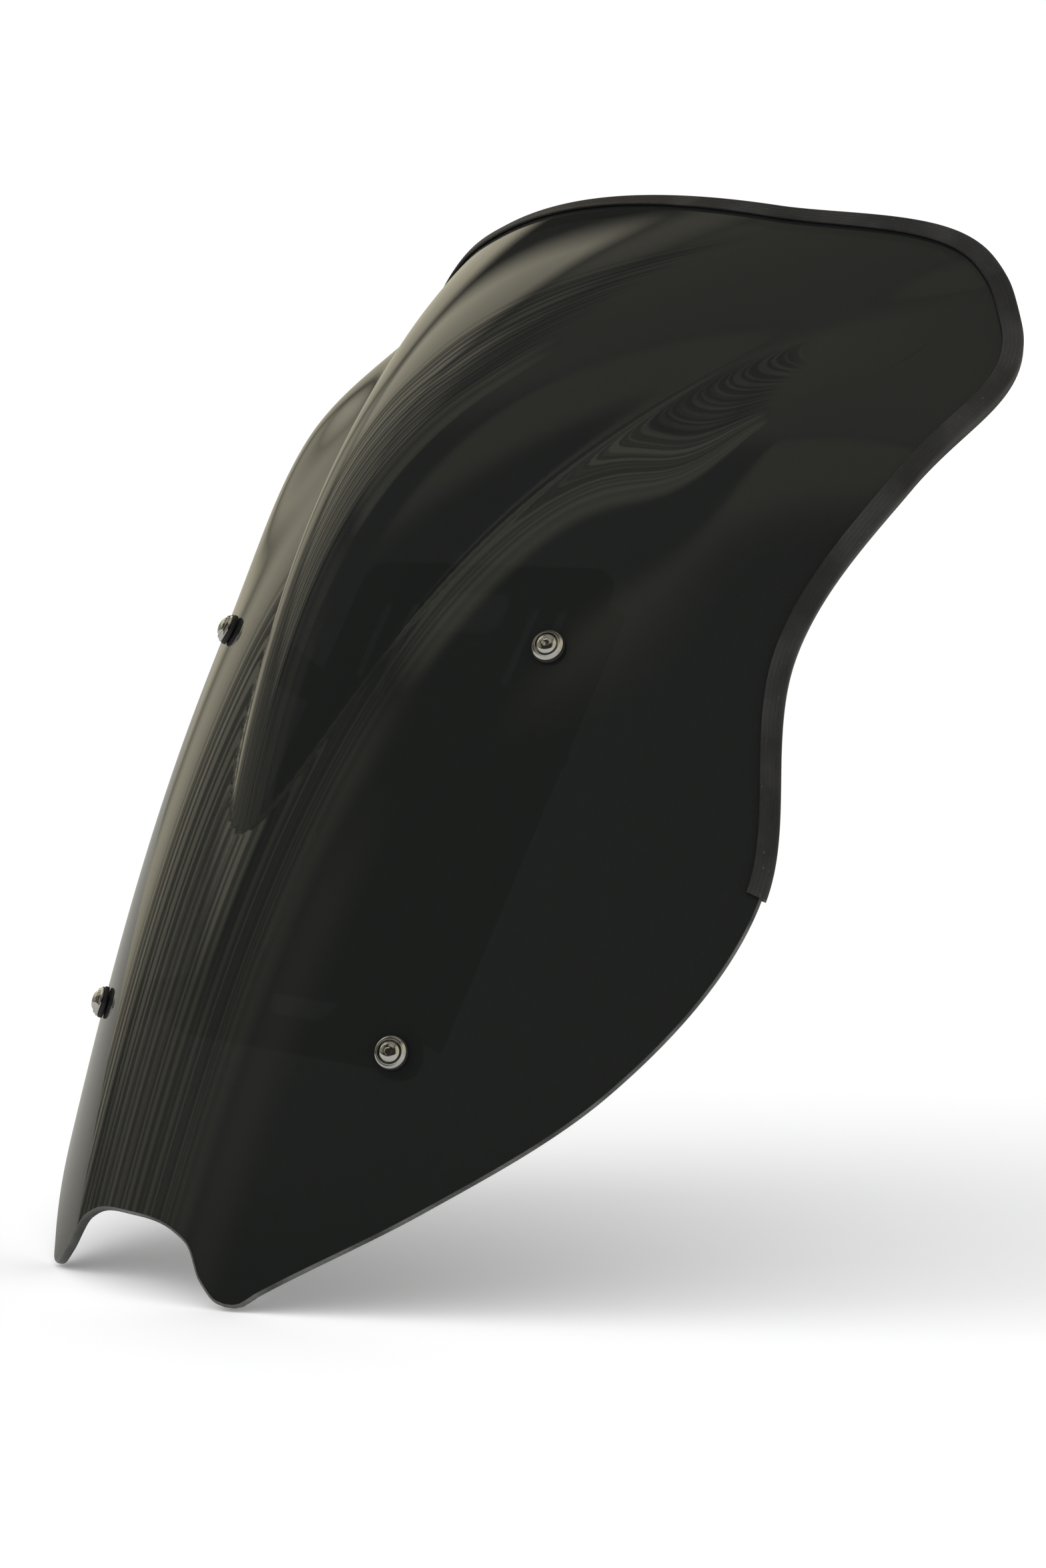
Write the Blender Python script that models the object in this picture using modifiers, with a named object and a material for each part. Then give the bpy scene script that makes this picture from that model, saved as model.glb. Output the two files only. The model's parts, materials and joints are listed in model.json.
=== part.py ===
"""Windshield screen for a sport-touring motorcycle, on its hand-adjustable carrier.

World frame: metres, +Z up, the screen faces -Y and the rider's left is +X.  The origin is the
centre of the stay plate's rear mounting face.  The screen leans back by RAKE, so every piece is laid
out in a sloped frame: u across the bike (+X), v up the slope, and w out of the slope, forwards.
The sheet's centreline passes through u = v = w = 0 of that frame.
"""

import math

import bmesh
import bpy
from mathutils import Matrix, Vector

MM = 0.001
WELD = 0.05 * MM

# ---- Slope and the stay's place on it ----
RAKE = math.radians(60.0)
STAY_FRONT_W = -70.0 * MM
STAY_THICKNESS = 4.0 * MM
STAY_CENTRE_V = -15.0 * MM

# ---- Acrylic sheet: its curved form ----
SHEET_THICKNESS = 4.0 * MM
REACH = 250.0 * MM
BOW = 45.7 * MM
BOW_TOP = 13.5 * MM
ARCH_RADIUS = 191.5 * MM
ARCH_GAIN = 1.02
ARCH_RELAX = 0.48
EDGE_U = 200.0 * MM
TUCK = 11.6 * MM
TUCK_GAIN = 6.2 * MM
TUCK_BOW = -22.5 * MM
FLARE = -16.7 * MM
FLARE_V = (165.0 * MM, 268.0 * MM)
SHOULDER = 9.0 * MM
SHOULDER_PLACE = (165.0 * MM, 166.0 * MM)
SHOULDER_SPREAD = (40.0 * MM, 70.0 * MM)
DOME_NOSE_V = -67.2 * MM
DOME_NOSE_RADIUS = 7.9 * MM
DOME_SPREAD = 45.8 * MM
DOME_HEIGHT = 29.2 * MM
DOME_RUN = 228.7 * MM
DOME_POWER = 2.02
CREASE_SOFTNESS = 1.8 * MM

# ---- Acrylic sheet: its outline, from the notch round the left side to the top centre ----
OUTLINE_MM = (
    (0.0, -238.9), (29.3, -241.1), (37.4, -244.3), (49.5, -258.2),
    (58.9, -263.8),
    (67.6, -262.7), (75.6, -254.8), (128.6, -199.8), (180.1, -127.0),
    (210.3, -27.5),
    (197.9, 63.8), (210.9, 260.2),
    (187.2, 290.1),
    (93.6, 290.9), (0.0, 291.1),
)
LOBE_TIP, TRIM_END, WING_START, WING_CORNER, TOP_CENTRE = 4, 9, 11, 12, 14
ACROSS_CELLS = 9
LOWER_SIDE_CELLS = 7
WAIST_CELLS = 11
WING_CELLS = 4
SIDE_CELLS = LOWER_SIDE_CELLS + WAIST_CELLS + WING_CELLS

# ---- Edge trim: rubber U-section with a steel core ----
TRIM_DEPTH = 7.5 * MM
TRIM_GAP = 0.35 * MM
TRIM_WALL = 1.5 * MM
TRIM_TURN = 1.2 * MM
TRIM_CAVITY = 0.7 * MM
TRIM_LIP = 0.5 * MM
CORE_WALL = 0.3 * MM
CORE_END_SETBACK = 0.2 * MM
RIM_UNDER_TRIM = 10.0 * MM
RIM_BARE = 4.0 * MM
RIM_CHANGE_V = (-90.0 * MM, -40.0 * MM)

# ---- Screen fixings ----
UPPER_FIXING = (113.7 * MM, 44.7 * MM)
LOWER_FIXING = (104.8 * MM, -141.8 * MM)
GAP = 0.3 * MM
CURVE_GAP = 0.6 * MM
SHEET_HOLE_R = 3.4 * MM
SHEET_HOLE_REACH = (-12.0 * MM, 6.0 * MM)
CUT_MARGIN = 3.0 * MM
OVERLAP = 1.0 * MM
SCREW_R = 2.45 * MM
SCREW_HEAD_R = 4.75 * MM
SCREW_HEAD_H = 2.7 * MM
SCREW_CROWN_R = (2.1 * MM, 3.8 * MM)
SCREW_CROWN_DROP = 0.7 * MM
SCREW_LENGTH = 20.0 * MM
SCREW_CHAMFER = 0.6 * MM
SCREW_KEY_R = 1.75 * MM
SCREW_KEY_DEPTH = 1.5 * MM
SEAL_R = 7.4 * MM
SEAL_T = 2.2 * MM
CUP_R = 7.0 * MM
CUP_RIM_H = 0.6 * MM
CUP_TOP_R = 5.6 * MM
CUP_TOP_H = 2.2 * MM
CUP_SEAT_R = 5.15 * MM
CUP_SEAT_H = 0.9 * MM
BORE_R = 2.8 * MM
NUT_FLANGE_R = 7.0 * MM
NUT_FLANGE_T = 1.5 * MM
NUT_BODY_R = 5.0 * MM
NUT_LENGTH = 14.0 * MM
INSERT_R = 3.9 * MM
INSERT_LENGTH = 5.5 * MM

# ---- Carrier ----
BOSS_R = 11.0 * MM
BOSS_T = 3.5 * MM
RAIL_U = 62.0 * MM
RAIL_W = (-66.0 * MM, -61.0 * MM)
RAIL_V = (-128.0 * MM, 40.0 * MM)
RAIL_WIDTH = 26.0 * MM
BRIDGE_W = (-63.0 * MM, -57.0 * MM)
BRIDGE_WIDTH = 18.0 * MM
RIB_T = 3.0 * MM
RIB_RISE = 7.0 * MM
BRIDGE_OVERLAP = 3.0 * MM
BOSS_BORE_DEPTH = 22.0 * MM
ARM_FOOT_U = 7.5 * MM
ARM_FOOT_V = {"upper": (24.0 * MM, 39.0 * MM), "lower": (-127.0 * MM, -117.0 * MM)}
ARM_FOOT_INSET = 0.5 * MM

# ---- Slide: shoes, slots and travel ----
CLAMP_V = 20.0 * MM
GUIDE_V = -110.0 * MM
TRAVEL = 50.0 * MM
SHOE_LENGTH = 30.0 * MM
SHOE_BLOCK = 10.0 * MM
SHOE_PAD = (22.0 * MM, 34.0 * MM)
BOLT_R = 3.0 * MM
BOLT_HOLE_R = 3.3 * MM
WASHER_R = 11.0 * MM
WASHER_T = 1.6 * MM
HEX_R = 5.77 * MM
HEX_NUT_T = 5.5 * MM

# ---- Stay plate ----
STAY_HALF_WIDTH = 87.0 * MM
STAY_V = (-142.0 * MM, 104.0 * MM)
STAY_CORNER = 12.0 * MM
FLANGE_T = 3.0 * MM
FLANGE_DEPTH = 12.0 * MM
FLANGE_SETBACK = 15.6 * MM
STAY_BOLT_U = 25.0 * MM
STAY_BOLT_RISE = 60.0 * MM
WINDOW_U = 43.0 * MM
WINDOW_WIDTH = 10.0 * MM
WINDOW_LENGTH = 80.0 * MM
WINDOW_RISE = 60.0 * MM
CENTRE_WINDOW_V = (("upper", 80.0 * MM), ("lower", -115.0 * MM))
CENTRE_WINDOW = (52.0 * MM, 22.0 * MM)

# ---- Clamp knobs ----
KNOB_R = 17.0 * MM
KNOB_LOBE = 0.09
KNOB_LOBES = 6
KNOB_GRIP_T = 13.0 * MM
KNOB_NECK_R = 9.0 * MM
KNOB_NECK_T = 5.0 * MM
KNOB_SOCKET_R = 5.3 * MM
KNOB_INSERT_R = 5.0 * MM
KNOB_INSERT_LENGTH = 11.5 * MM
KNOB_SEGMENTS = 36
KNOB_NECK_SEGMENTS = 20
KNOB_ROUNDING = 1.6 * MM
STUD_HEAD_R = (6.0 * MM, 4.0 * MM)
STUD_HEAD_H = (1.4 * MM, 3.0 * MM, 3.4 * MM)

# ---- Guide screws ----
GUIDE_HEAD_R = (5.25 * MM, 3.6 * MM)
GUIDE_HEAD_H = (1.2 * MM, 3.3 * MM)
GUIDE_TIP = 1.5 * MM
GUIDE_KEY_R = 2.3 * MM
GUIDE_KEY_DEPTH = 1.8 * MM

SIDES = (("left", 1.0), ("right", -1.0))
FIXINGS = (("upper", UPPER_FIXING), ("lower", LOWER_FIXING))
STAY_REAR_W = STAY_FRONT_W - STAY_THICKNESS


# ---- Form of the sheet ----

def clamp01(x):
    return min(max(x, 0.0), 1.0)


def crease_half_width(v):
    """Half width of the dome at v: a rounded nose that spreads towards the top."""
    t = max(v - DOME_NOSE_V, 0.0)
    return math.sqrt(2.0 * DOME_NOSE_RADIUS * t) + DOME_SPREAD * (t / REACH) ** 3


def dome_height(u, v):
    """Height of the raised dome above the arch, with a soft groove at its foot."""
    rise = math.sin(0.5 * math.pi * clamp01((v - DOME_NOSE_V) / DOME_RUN))
    if rise <= 0.0:
        return 0.0
    height = DOME_HEIGHT * rise
    soft = CREASE_SOFTNESS * rise
    q = abs(u) / crease_half_width(v)
    if q < 1.0:
        level = height * (1.0 - q ** DOME_POWER)
    else:
        level = height * DOME_POWER * (1.0 - q)
    return 0.5 * (level + math.hypot(level, soft))


def shoulder_height(u, v):
    """Gentle swell of each flank beside the dome, above the waist."""
    across = (abs(u) - SHOULDER_PLACE[0]) / SHOULDER_SPREAD[0]
    along = (v - SHOULDER_PLACE[1]) / SHOULDER_SPREAD[1]
    return SHOULDER * math.exp(-across ** 2 - along ** 2)


def sheet_w(u, v):
    """Height w of the sheet's front face above the slope at (u, v)."""
    s = v / REACH
    bow = -BOW * s ** 2 - BOW_TOP * s ** 3
    arch = (ARCH_GAIN - ARCH_RELAX * s) * (math.hypot(u, ARCH_RADIUS) - ARCH_RADIUS)
    start, end = FLARE_V
    lift = math.sin(0.5 * math.pi * clamp01((v - start) / (end - start))) ** 2
    tuck = TUCK + TUCK_GAIN * s + TUCK_BOW * s ** 2
    edge = (FLARE * lift - tuck) * (abs(u) / EDGE_U) ** 4
    return bow - arch + edge + shoulder_height(u, v) + dome_height(u, v)


def sheet_point(u, v):
    return Vector((u, v, sheet_w(u, v)))


def sheet_normal(u, v):
    step = 0.5 * MM
    along_u = sheet_point(u + step, v) - sheet_point(u - step, v)
    along_v = sheet_point(u, v + step) - sheet_point(u, v - step)
    return along_u.cross(along_v).normalized()


# ---- Outline of the sheet ----

def outline_curve():
    """The outline's knots, their chord-length parameters and their tangents."""
    knots = [Vector(p) * MM for p in OUTLINE_MM]
    lengths = [(b - a).length for a, b in zip(knots, knots[1:])]
    params = [sum(lengths[:i]) for i in range(len(knots))]
    slopes = [(b - a) / n for a, b, n in zip(knots, knots[1:], lengths)]
    tangents = [Vector((slopes[0].x, 0.0))]
    for i in range(1, len(knots) - 1):
        ahead = lengths[i] / (lengths[i] + lengths[i - 1])
        tangents.append(slopes[i - 1] * ahead + slopes[i] * (1.0 - ahead))
    tangents.append(Vector((slopes[-1].x, 0.0)))
    return knots, params, tangents


def outline_at(curve, knot, fraction):
    """Point and direction on the cubic span after a knot."""
    knots, params, tangents = curve
    x = fraction
    span = params[knot + 1] - params[knot]
    a, b = knots[knot], knots[knot + 1]
    ta, tb = tangents[knot] * span, tangents[knot + 1] * span
    point = (a * (2 * x ** 3 - 3 * x ** 2 + 1) + ta * (x ** 3 - 2 * x ** 2 + x)
             + b * (3 * x ** 2 - 2 * x ** 3) + tb * (x ** 3 - x ** 2))
    direction = (a * (6 * x ** 2 - 6 * x) + ta * (3 * x ** 2 - 4 * x + 1)
                 + b * (6 * x - 6 * x ** 2) + tb * (3 * x ** 2 - 2 * x))
    return point, direction.normalized()


def outline_stretch(curve, first, last, cells):
    """Evenly spaced points and directions from knot `first` up to, not including, knot `last`."""
    params = curve[1]
    stretch = []
    for i in range(cells):
        at = params[first] + (params[last] - params[first]) * i / cells
        knot = max(k for k in range(first, last) if params[k] <= at + 1e-9)
        fraction = (at - params[knot]) / (params[knot + 1] - params[knot])
        stretch.append(outline_at(curve, knot, fraction))
    return stretch


def half_outline():
    """Points and directions of the half outline, from the notch centre to the top centre."""
    curve = outline_curve()
    rows = outline_stretch(curve, 0, LOBE_TIP, ACROSS_CELLS)
    rows += outline_stretch(curve, LOBE_TIP, TRIM_END, LOWER_SIDE_CELLS)
    rows += outline_stretch(curve, TRIM_END, WING_START, WAIST_CELLS)
    rows += outline_stretch(curve, WING_START, WING_CORNER, WING_CELLS)
    rows += outline_stretch(curve, WING_CORNER, TOP_CENTRE, ACROSS_CELLS)
    rows.append((curve[0][TOP_CENTRE], Vector((-1.0, 0.0))))
    return rows


def rim_width(v):
    """Width of the strip along the edge: wide under the trim, narrow where the edge is bare."""
    low, high = RIM_CHANGE_V
    return RIM_BARE + (RIM_UNDER_TRIM - RIM_BARE) * clamp01((v - low) / (high - low))


def inset_point(point, direction):
    """The outline point moved inwards over the curved face by the rim width."""
    inward = Vector((-direction.y, direction.x))
    probe = 1.0 * MM
    rise = sheet_w(*(point + inward * probe)) - sheet_w(*point)
    return point + inward * rim_width(point.y) / math.hypot(1.0, rise / probe)


# ---- Scene helpers ----

def clear_scene():
    for obj in list(bpy.data.objects):
        bpy.data.objects.remove(obj)


def new_collection(name):
    collection = bpy.data.collections.new(name)
    bpy.context.scene.collection.children.link(collection)
    return collection


def new_material(name, colour, roughness, metallic=0.0):
    material = bpy.data.materials.new(name)
    material.use_nodes = True
    shader = material.node_tree.nodes["Principled BSDF"]
    shader.inputs["Base Color"].default_value = (*colour, 1.0)
    shader.inputs["Roughness"].default_value = roughness
    shader.inputs["Metallic"].default_value = metallic
    return material


def new_empty(name, parent=None, matrix=None):
    empty = bpy.data.objects.new(name, None)
    parts.objects.link(empty)
    empty.parent = parent
    if matrix is not None:
        empty.matrix_local = matrix
    return empty


def new_object(name, bm, parent, finish=None, matrix=None):
    """An object from a bmesh; without a finish it is a cutter or a piece to be joined."""
    mesh = bpy.data.meshes.new(name)
    bm.to_mesh(mesh)
    bm.free()
    obj = bpy.data.objects.new(name, mesh)
    obj.parent = parent
    if matrix is not None:
        obj.matrix_local = matrix
    if finish is None:
        cutters.objects.link(obj)
        obj.hide_render = True
        obj.display_type = "WIRE"
    else:
        parts.objects.link(obj)
        mesh.materials.append(finish)
    return obj


def smooth(obj, angle=35.0):
    obj.data.shade_smooth()
    obj.data.set_sharp_from_angle(angle=math.radians(angle))
    return obj


def boolean(obj, other, operation):
    modifier = obj.modifiers.new(operation.lower(), "BOOLEAN")
    modifier.operation = operation
    modifier.solver = "EXACT"
    modifier.object = other


def box_mesh(low, high):
    bm = bmesh.new()
    size = Vector(high) - Vector(low)
    place = Matrix.Translation((Vector(low) + Vector(high)) / 2.0)
    bmesh.ops.create_cube(bm, size=1.0, matrix=place @ Matrix.Diagonal((*size, 1.0)))
    return bm


def prism_mesh(radius, low, high, segments=16, centre=(0.0, 0.0), turn=0.0):
    """A cylinder, or a hexagon with six segments, along the local w axis."""
    bm = bmesh.new()
    place = Matrix.Translation((*centre, (low + high) / 2.0)) @ Matrix.Rotation(turn, 4, "Z")
    bmesh.ops.create_cone(bm, cap_ends=True, segments=segments, radius1=radius, radius2=radius,
                          depth=high - low, matrix=place)
    return bm


def stadium_mesh(length, width, low, high, centre, along="V"):
    """A slot shape: the hull of two cylinders set apart along u or v."""
    bm = bmesh.new()
    half = (length - width) / 2.0
    for sign in (-1.0, 1.0):
        shift = (0.0, sign * half) if along == "V" else (sign * half, 0.0)
        place = Matrix.Translation((centre[0] + shift[0], centre[1] + shift[1], (low + high) / 2.0))
        bmesh.ops.create_cone(bm, cap_ends=True, segments=16, radius1=width / 2.0,
                              radius2=width / 2.0, depth=high - low, matrix=place)
    return hull_of(bm)


def hull_of(bm):
    """The convex hull of everything in a bmesh, as a new bmesh."""
    points = [v.co.copy() for v in bm.verts]
    bm.free()
    hull = bmesh.new()
    for point in points:
        hull.verts.new(point)
    made = bmesh.ops.convex_hull(hull, input=hull.verts)
    inside = [g for g in made["geom_interior"] if isinstance(g, bmesh.types.BMVert)]
    bmesh.ops.delete(hull, geom=inside, context="VERTS")
    flat = math.radians(0.5)
    bmesh.ops.dissolve_limit(hull, angle_limit=flat, verts=hull.verts, edges=hull.edges)
    return hull


def turned(name, profile, closed, parent, finish, matrix=None, segments=16):
    """A turned piece: a profile of (radius, height), down its outer side, swept by Screw."""
    bm = bmesh.new()
    verts = [bm.verts.new((r, 0.0, z)) for r, z in profile]
    for a, b in zip(verts, verts[1:]):
        bm.edges.new((a, b))
    if closed:
        bm.edges.new((verts[-1], verts[0]))
    obj = new_object(name, bm, parent, finish, matrix)
    sweep = obj.modifiers.new("sweep", "SCREW")
    sweep.steps = segments
    sweep.render_steps = segments
    sweep.use_merge_vertices = True
    sweep.merge_threshold = WELD
    sweep.use_smooth_shade = True
    return obj


def ring_profile(inner, outer, low, high):
    return ((outer, high), (outer, low), (inner, low), (inner, high))


def drill(obj, name, mesh, parent, matrix=None):
    boolean(obj, new_object(name, mesh, parent, None, matrix), "DIFFERENCE")


def join(obj, name, mesh, parent, matrix=None):
    boolean(obj, new_object(name, mesh, parent, None, matrix), "UNION")


# ---- Acrylic sheet ----

def split_rim_cell(edge, order):
    """Split the rim cell on an outline edge, from the edge's far end to the near inner corner."""
    near, far = sorted(edge.verts, key=lambda vert: order[vert])
    face = edge.link_faces[0]
    inner = [v for v in face.verts if v not in order and near in [e.other_vert(v) for e in v.link_edges]]
    bmesh.utils.face_split(face, far, inner[0])


def build_sheet(parent):
    """Half of the front face: a grid inside a rim strip, mirrored and given its thickness."""
    rows = half_outline()
    inner = [inset_point(*row) for row in rows]
    bottom = inner[:ACROSS_CELLS + 1]
    side = inner[ACROSS_CELLS:ACROSS_CELLS + SIDE_CELLS + 1]
    top = inner[:ACROSS_CELLS + SIDE_CELLS - 1:-1]
    centre = [bottom[0].lerp(top[0], j / SIDE_CELLS) for j in range(SIDE_CELLS + 1)]

    def grid_place(i, j):
        """Blend of the four boundary curves at grid node (i, j)."""
        s, t = i / ACROSS_CELLS, j / SIDE_CELLS
        blend = bottom[i] * (1 - t) + top[i] * t + centre[j] * (1 - s) + side[j] * s
        low = bottom[0] * (1 - s) + bottom[-1] * s
        high = top[0] * (1 - s) + top[-1] * s
        return blend - low * (1 - t) - high * t

    def node_of(vert):
        i = round((vert.co.x + 1.0) / 2.0 * ACROSS_CELLS)
        j = round((vert.co.y + 1.0) / 2.0 * SIDE_CELLS)
        return i, j

    def outline_index(i, j):
        if j == 0:
            return i
        if i == ACROSS_CELLS:
            return ACROSS_CELLS + j
        return 2 * ACROSS_CELLS + SIDE_CELLS - i

    bm = bmesh.new()
    bmesh.ops.create_grid(bm, x_segments=ACROSS_CELLS, y_segments=SIDE_CELLS, size=1.0)
    nodes = {vert: node_of(vert) for vert in bm.verts}
    rim_edges = [e for e in bm.edges if e.is_boundary and any(nodes[v][0] > 0 for v in e.verts)]
    made = bmesh.ops.extrude_edge_only(bm, edges=rim_edges)
    rim = {v: node_of(v) for v in made["geom"] if isinstance(v, bmesh.types.BMVert)}
    order = {vert: outline_index(i, j) for vert, (i, j) in rim.items()}
    for edge in [e for e in bm.edges if e.verts[0] in order and e.verts[1] in order]:
        split_rim_cell(edge, order)
    for vert, (i, j) in nodes.items():
        vert.co = sheet_point(*grid_place(i, j))
    for vert, index in order.items():
        vert.co = sheet_point(*rows[index][0])
    bmesh.ops.recalc_face_normals(bm, faces=bm.faces)
    bm.normal_update()
    if sum(face.normal.z for face in bm.faces) < 0.0:
        bmesh.ops.reverse_faces(bm, faces=bm.faces)

    sheet = new_object("screen_panel", bm, parent, acrylic)
    smooth(sheet, 60.0)
    mirror = sheet.modifiers.new("mirror", "MIRROR")
    mirror.merge_threshold = WELD
    skin = sheet.modifiers.new("thickness", "SOLIDIFY")
    skin.thickness = SHEET_THICKNESS
    skin.offset = -1.0
    skin.use_even_offset = True
    for level, side_name, matrix in fixing_places():
        hole = prism_mesh(SHEET_HOLE_R, *SHEET_HOLE_REACH)
        drill(sheet, f"sheet_hole_{level}_{side_name}", hole, parent, matrix)
    return rows, inner


# ---- Edge trim ----

def trim_section(half_wall, leg_end):
    """Closed (depth, height) outline of a U-shaped wall round the sheet's edge."""
    mid = TRIM_GAP + TRIM_WALL / 2.0
    back = -SHEET_THICKNESS
    centre = ((leg_end, mid), (0.0, mid), (-mid, mid - TRIM_TURN),
              (-mid, back - mid + TRIM_TURN), (0.0, back - mid), (leg_end, back - mid))
    outer, inner = [], []
    for i, (d, h) in enumerate(centre):
        before = centre[max(i - 1, 0)]
        after = centre[min(i + 1, len(centre) - 1)]
        along = Vector((after[0] - before[0], after[1] - before[1])).normalized()
        across = Vector((along.y, -along.x)) * half_wall
        outer.append((d + across.x, h + across.y))
        inner.append((d - across.x, h - across.y))
    return outer + inner[::-1]


def trim_stations(rows, inner):
    """Edge point, inward direction and the two normals at each station, right waist to left."""
    first = ACROSS_CELLS + LOWER_SIDE_CELLS
    half = []
    for (point, _), inside in zip(rows[first:], inner[first:]):
        edge = sheet_point(*point)
        inward = (sheet_point(*inside) - edge).normalized()
        half.append((edge, inward, sheet_normal(*point), sheet_normal(*inside)))

    def mirrored(station):
        return tuple(Vector((-v.x, v.y, v.z)) for v in station)

    return half + [mirrored(station) for station in reversed(half[:-1])]


def sweep_section(stations, section):
    """Rings of points: the section carried along the stations."""
    rings = []
    for edge, inward, edge_normal, inner_normal in stations:
        ring = []
        for depth, height in section:
            normal = edge_normal.lerp(inner_normal, clamp01(depth / RIM_UNDER_TRIM)).normalized()
            ring.append(edge + inward * depth + normal * height)
        rings.append(ring)
    return rings


def bridge_rings(bm, rings, section, inside_out=False):
    """Skin rings of a section into a tube, each cell split as the sheet's rim strip is."""
    tube = [[bm.verts.new(point) for point in ring] for ring in rings]
    count = len(section)
    for n, (a, b) in enumerate(zip(tube, tube[1:])):
        rising = n < len(tube) // 2
        for i in range(count):
            k = (i + 1) % count
            deep_first = section[i][0] >= section[k][0]
            if deep_first == rising:
                halves = ((a[i], a[k], b[k]), (a[i], b[k], b[i]))
            else:
                halves = ((a[i], a[k], b[i]), (a[k], b[k], b[i]))
            for half in halves:
                bm.faces.new(half[::-1] if inside_out else half)
    return tube


def u_caps(bm, ring):
    """Close one end of a U-shaped tube with quads across its wall."""
    count = len(ring)
    for i in range(count // 2 - 1):
        bm.faces.new((ring[i], ring[i + 1], ring[count - 2 - i], ring[count - 1 - i]))


def build_trim(parent, rows, inner):
    stations = trim_stations(rows, inner)

    bm = bmesh.new()
    section = trim_section(TRIM_WALL / 2.0, TRIM_DEPTH)
    skin = bridge_rings(bm, sweep_section(stations, section), section)
    section = trim_section(TRIM_CAVITY / 2.0, TRIM_DEPTH - TRIM_LIP)
    cavity = bridge_rings(bm, sweep_section(stations, section), section, inside_out=True)
    for end in (0, -1):
        count = len(skin[end])
        for i in range(count):
            k = (i + 1) % count
            bm.faces.new((skin[end][i], skin[end][k], cavity[end][k], cavity[end][i]))
    bmesh.ops.recalc_face_normals(bm, faces=bm.faces)
    smooth(new_object("edge_trim", bm, parent, rubber))

    bm = bmesh.new()
    section = trim_section(CORE_WALL / 2.0, TRIM_DEPTH - TRIM_LIP - CORE_END_SETBACK)
    core = bridge_rings(bm, sweep_section(stations, section), section)
    for end in (0, -1):
        u_caps(bm, core[end])
    bmesh.ops.recalc_face_normals(bm, faces=bm.faces)
    smooth(new_object("edge_trim_core", bm, parent, spring_steel))


# ---- Screen fixings ----

def fixing_places():
    """Name and placement of each fixing: local Z is the sheet's normal, Z = 0 its front face."""
    for level, (u, v) in FIXINGS:
        for side_name, sign in SIDES:
            normal = sheet_normal(sign * u, v)
            across = Vector((0.0, 1.0, 0.0)).cross(normal).normalized()
            up = normal.cross(across)
            matrix = Matrix((across, up, normal)).transposed().to_4x4()
            matrix.translation = sheet_point(sign * u, v)
            yield level, side_name, matrix


def build_fixing(parent, label, matrix):
    """One stack, from the front: screw, cup washer, seal washer, sheet, well nut with insert."""
    seal_low = GAP
    seal_high = seal_low + SEAL_T
    seal = ring_profile(SHEET_HOLE_R, SEAL_R, seal_low, seal_high)
    turned(f"seal_washer_{label}", seal, True, parent, nylon, matrix)

    base = seal_high + GAP
    cup = ((CUP_TOP_R, base + CUP_TOP_H), (CUP_R, base + CUP_RIM_H), (CUP_R, base),
           (BORE_R, base), (BORE_R, base + CUP_SEAT_H), (CUP_SEAT_R, base + CUP_SEAT_H),
           (CUP_SEAT_R, base + CUP_TOP_H))
    turned(f"cup_washer_{label}", cup, True, parent, polished_steel, matrix)

    seat = base + CUP_SEAT_H + GAP
    top = seat + SCREW_HEAD_H
    tip = seat - SCREW_LENGTH
    crown, shoulder = SCREW_CROWN_R
    profile = ((0.0, top), (crown, top), (shoulder, top - SCREW_CROWN_DROP),
               (SCREW_HEAD_R, seat + SCREW_CROWN_DROP), (SCREW_HEAD_R, seat), (SCREW_R, seat),
               (SCREW_R, tip + SCREW_CHAMFER), (SCREW_R - SCREW_CHAMFER, tip), (0.0, tip))
    screw = turned(f"screw_{label}", profile, False, parent, polished_steel, matrix)
    key = prism_mesh(SCREW_KEY_R, top - SCREW_KEY_DEPTH, top + CUT_MARGIN, 6)
    drill(screw, f"screw_key_{label}", key, parent, matrix)

    flange_top = -SHEET_THICKNESS - CURVE_GAP
    flange_low = flange_top - NUT_FLANGE_T
    nut_end = flange_top - NUT_LENGTH
    pocket = nut_end + INSERT_LENGTH + 2.0 * GAP
    pocket_r = INSERT_R + GAP
    nut = ((NUT_FLANGE_R, flange_top), (NUT_FLANGE_R, flange_low), (NUT_BODY_R, flange_low),
           (NUT_BODY_R, nut_end), (pocket_r, nut_end), (pocket_r, pocket),
           (BORE_R, pocket), (BORE_R, flange_top))
    turned(f"well_nut_{label}", nut, True, parent, rubber, matrix)

    insert = ring_profile(BORE_R, INSERT_R, nut_end + GAP, nut_end + GAP + INSERT_LENGTH)
    turned(f"well_nut_insert_{label}", insert, True, parent, brass, matrix)
    return flange_low


# ---- Carrier ----

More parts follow.
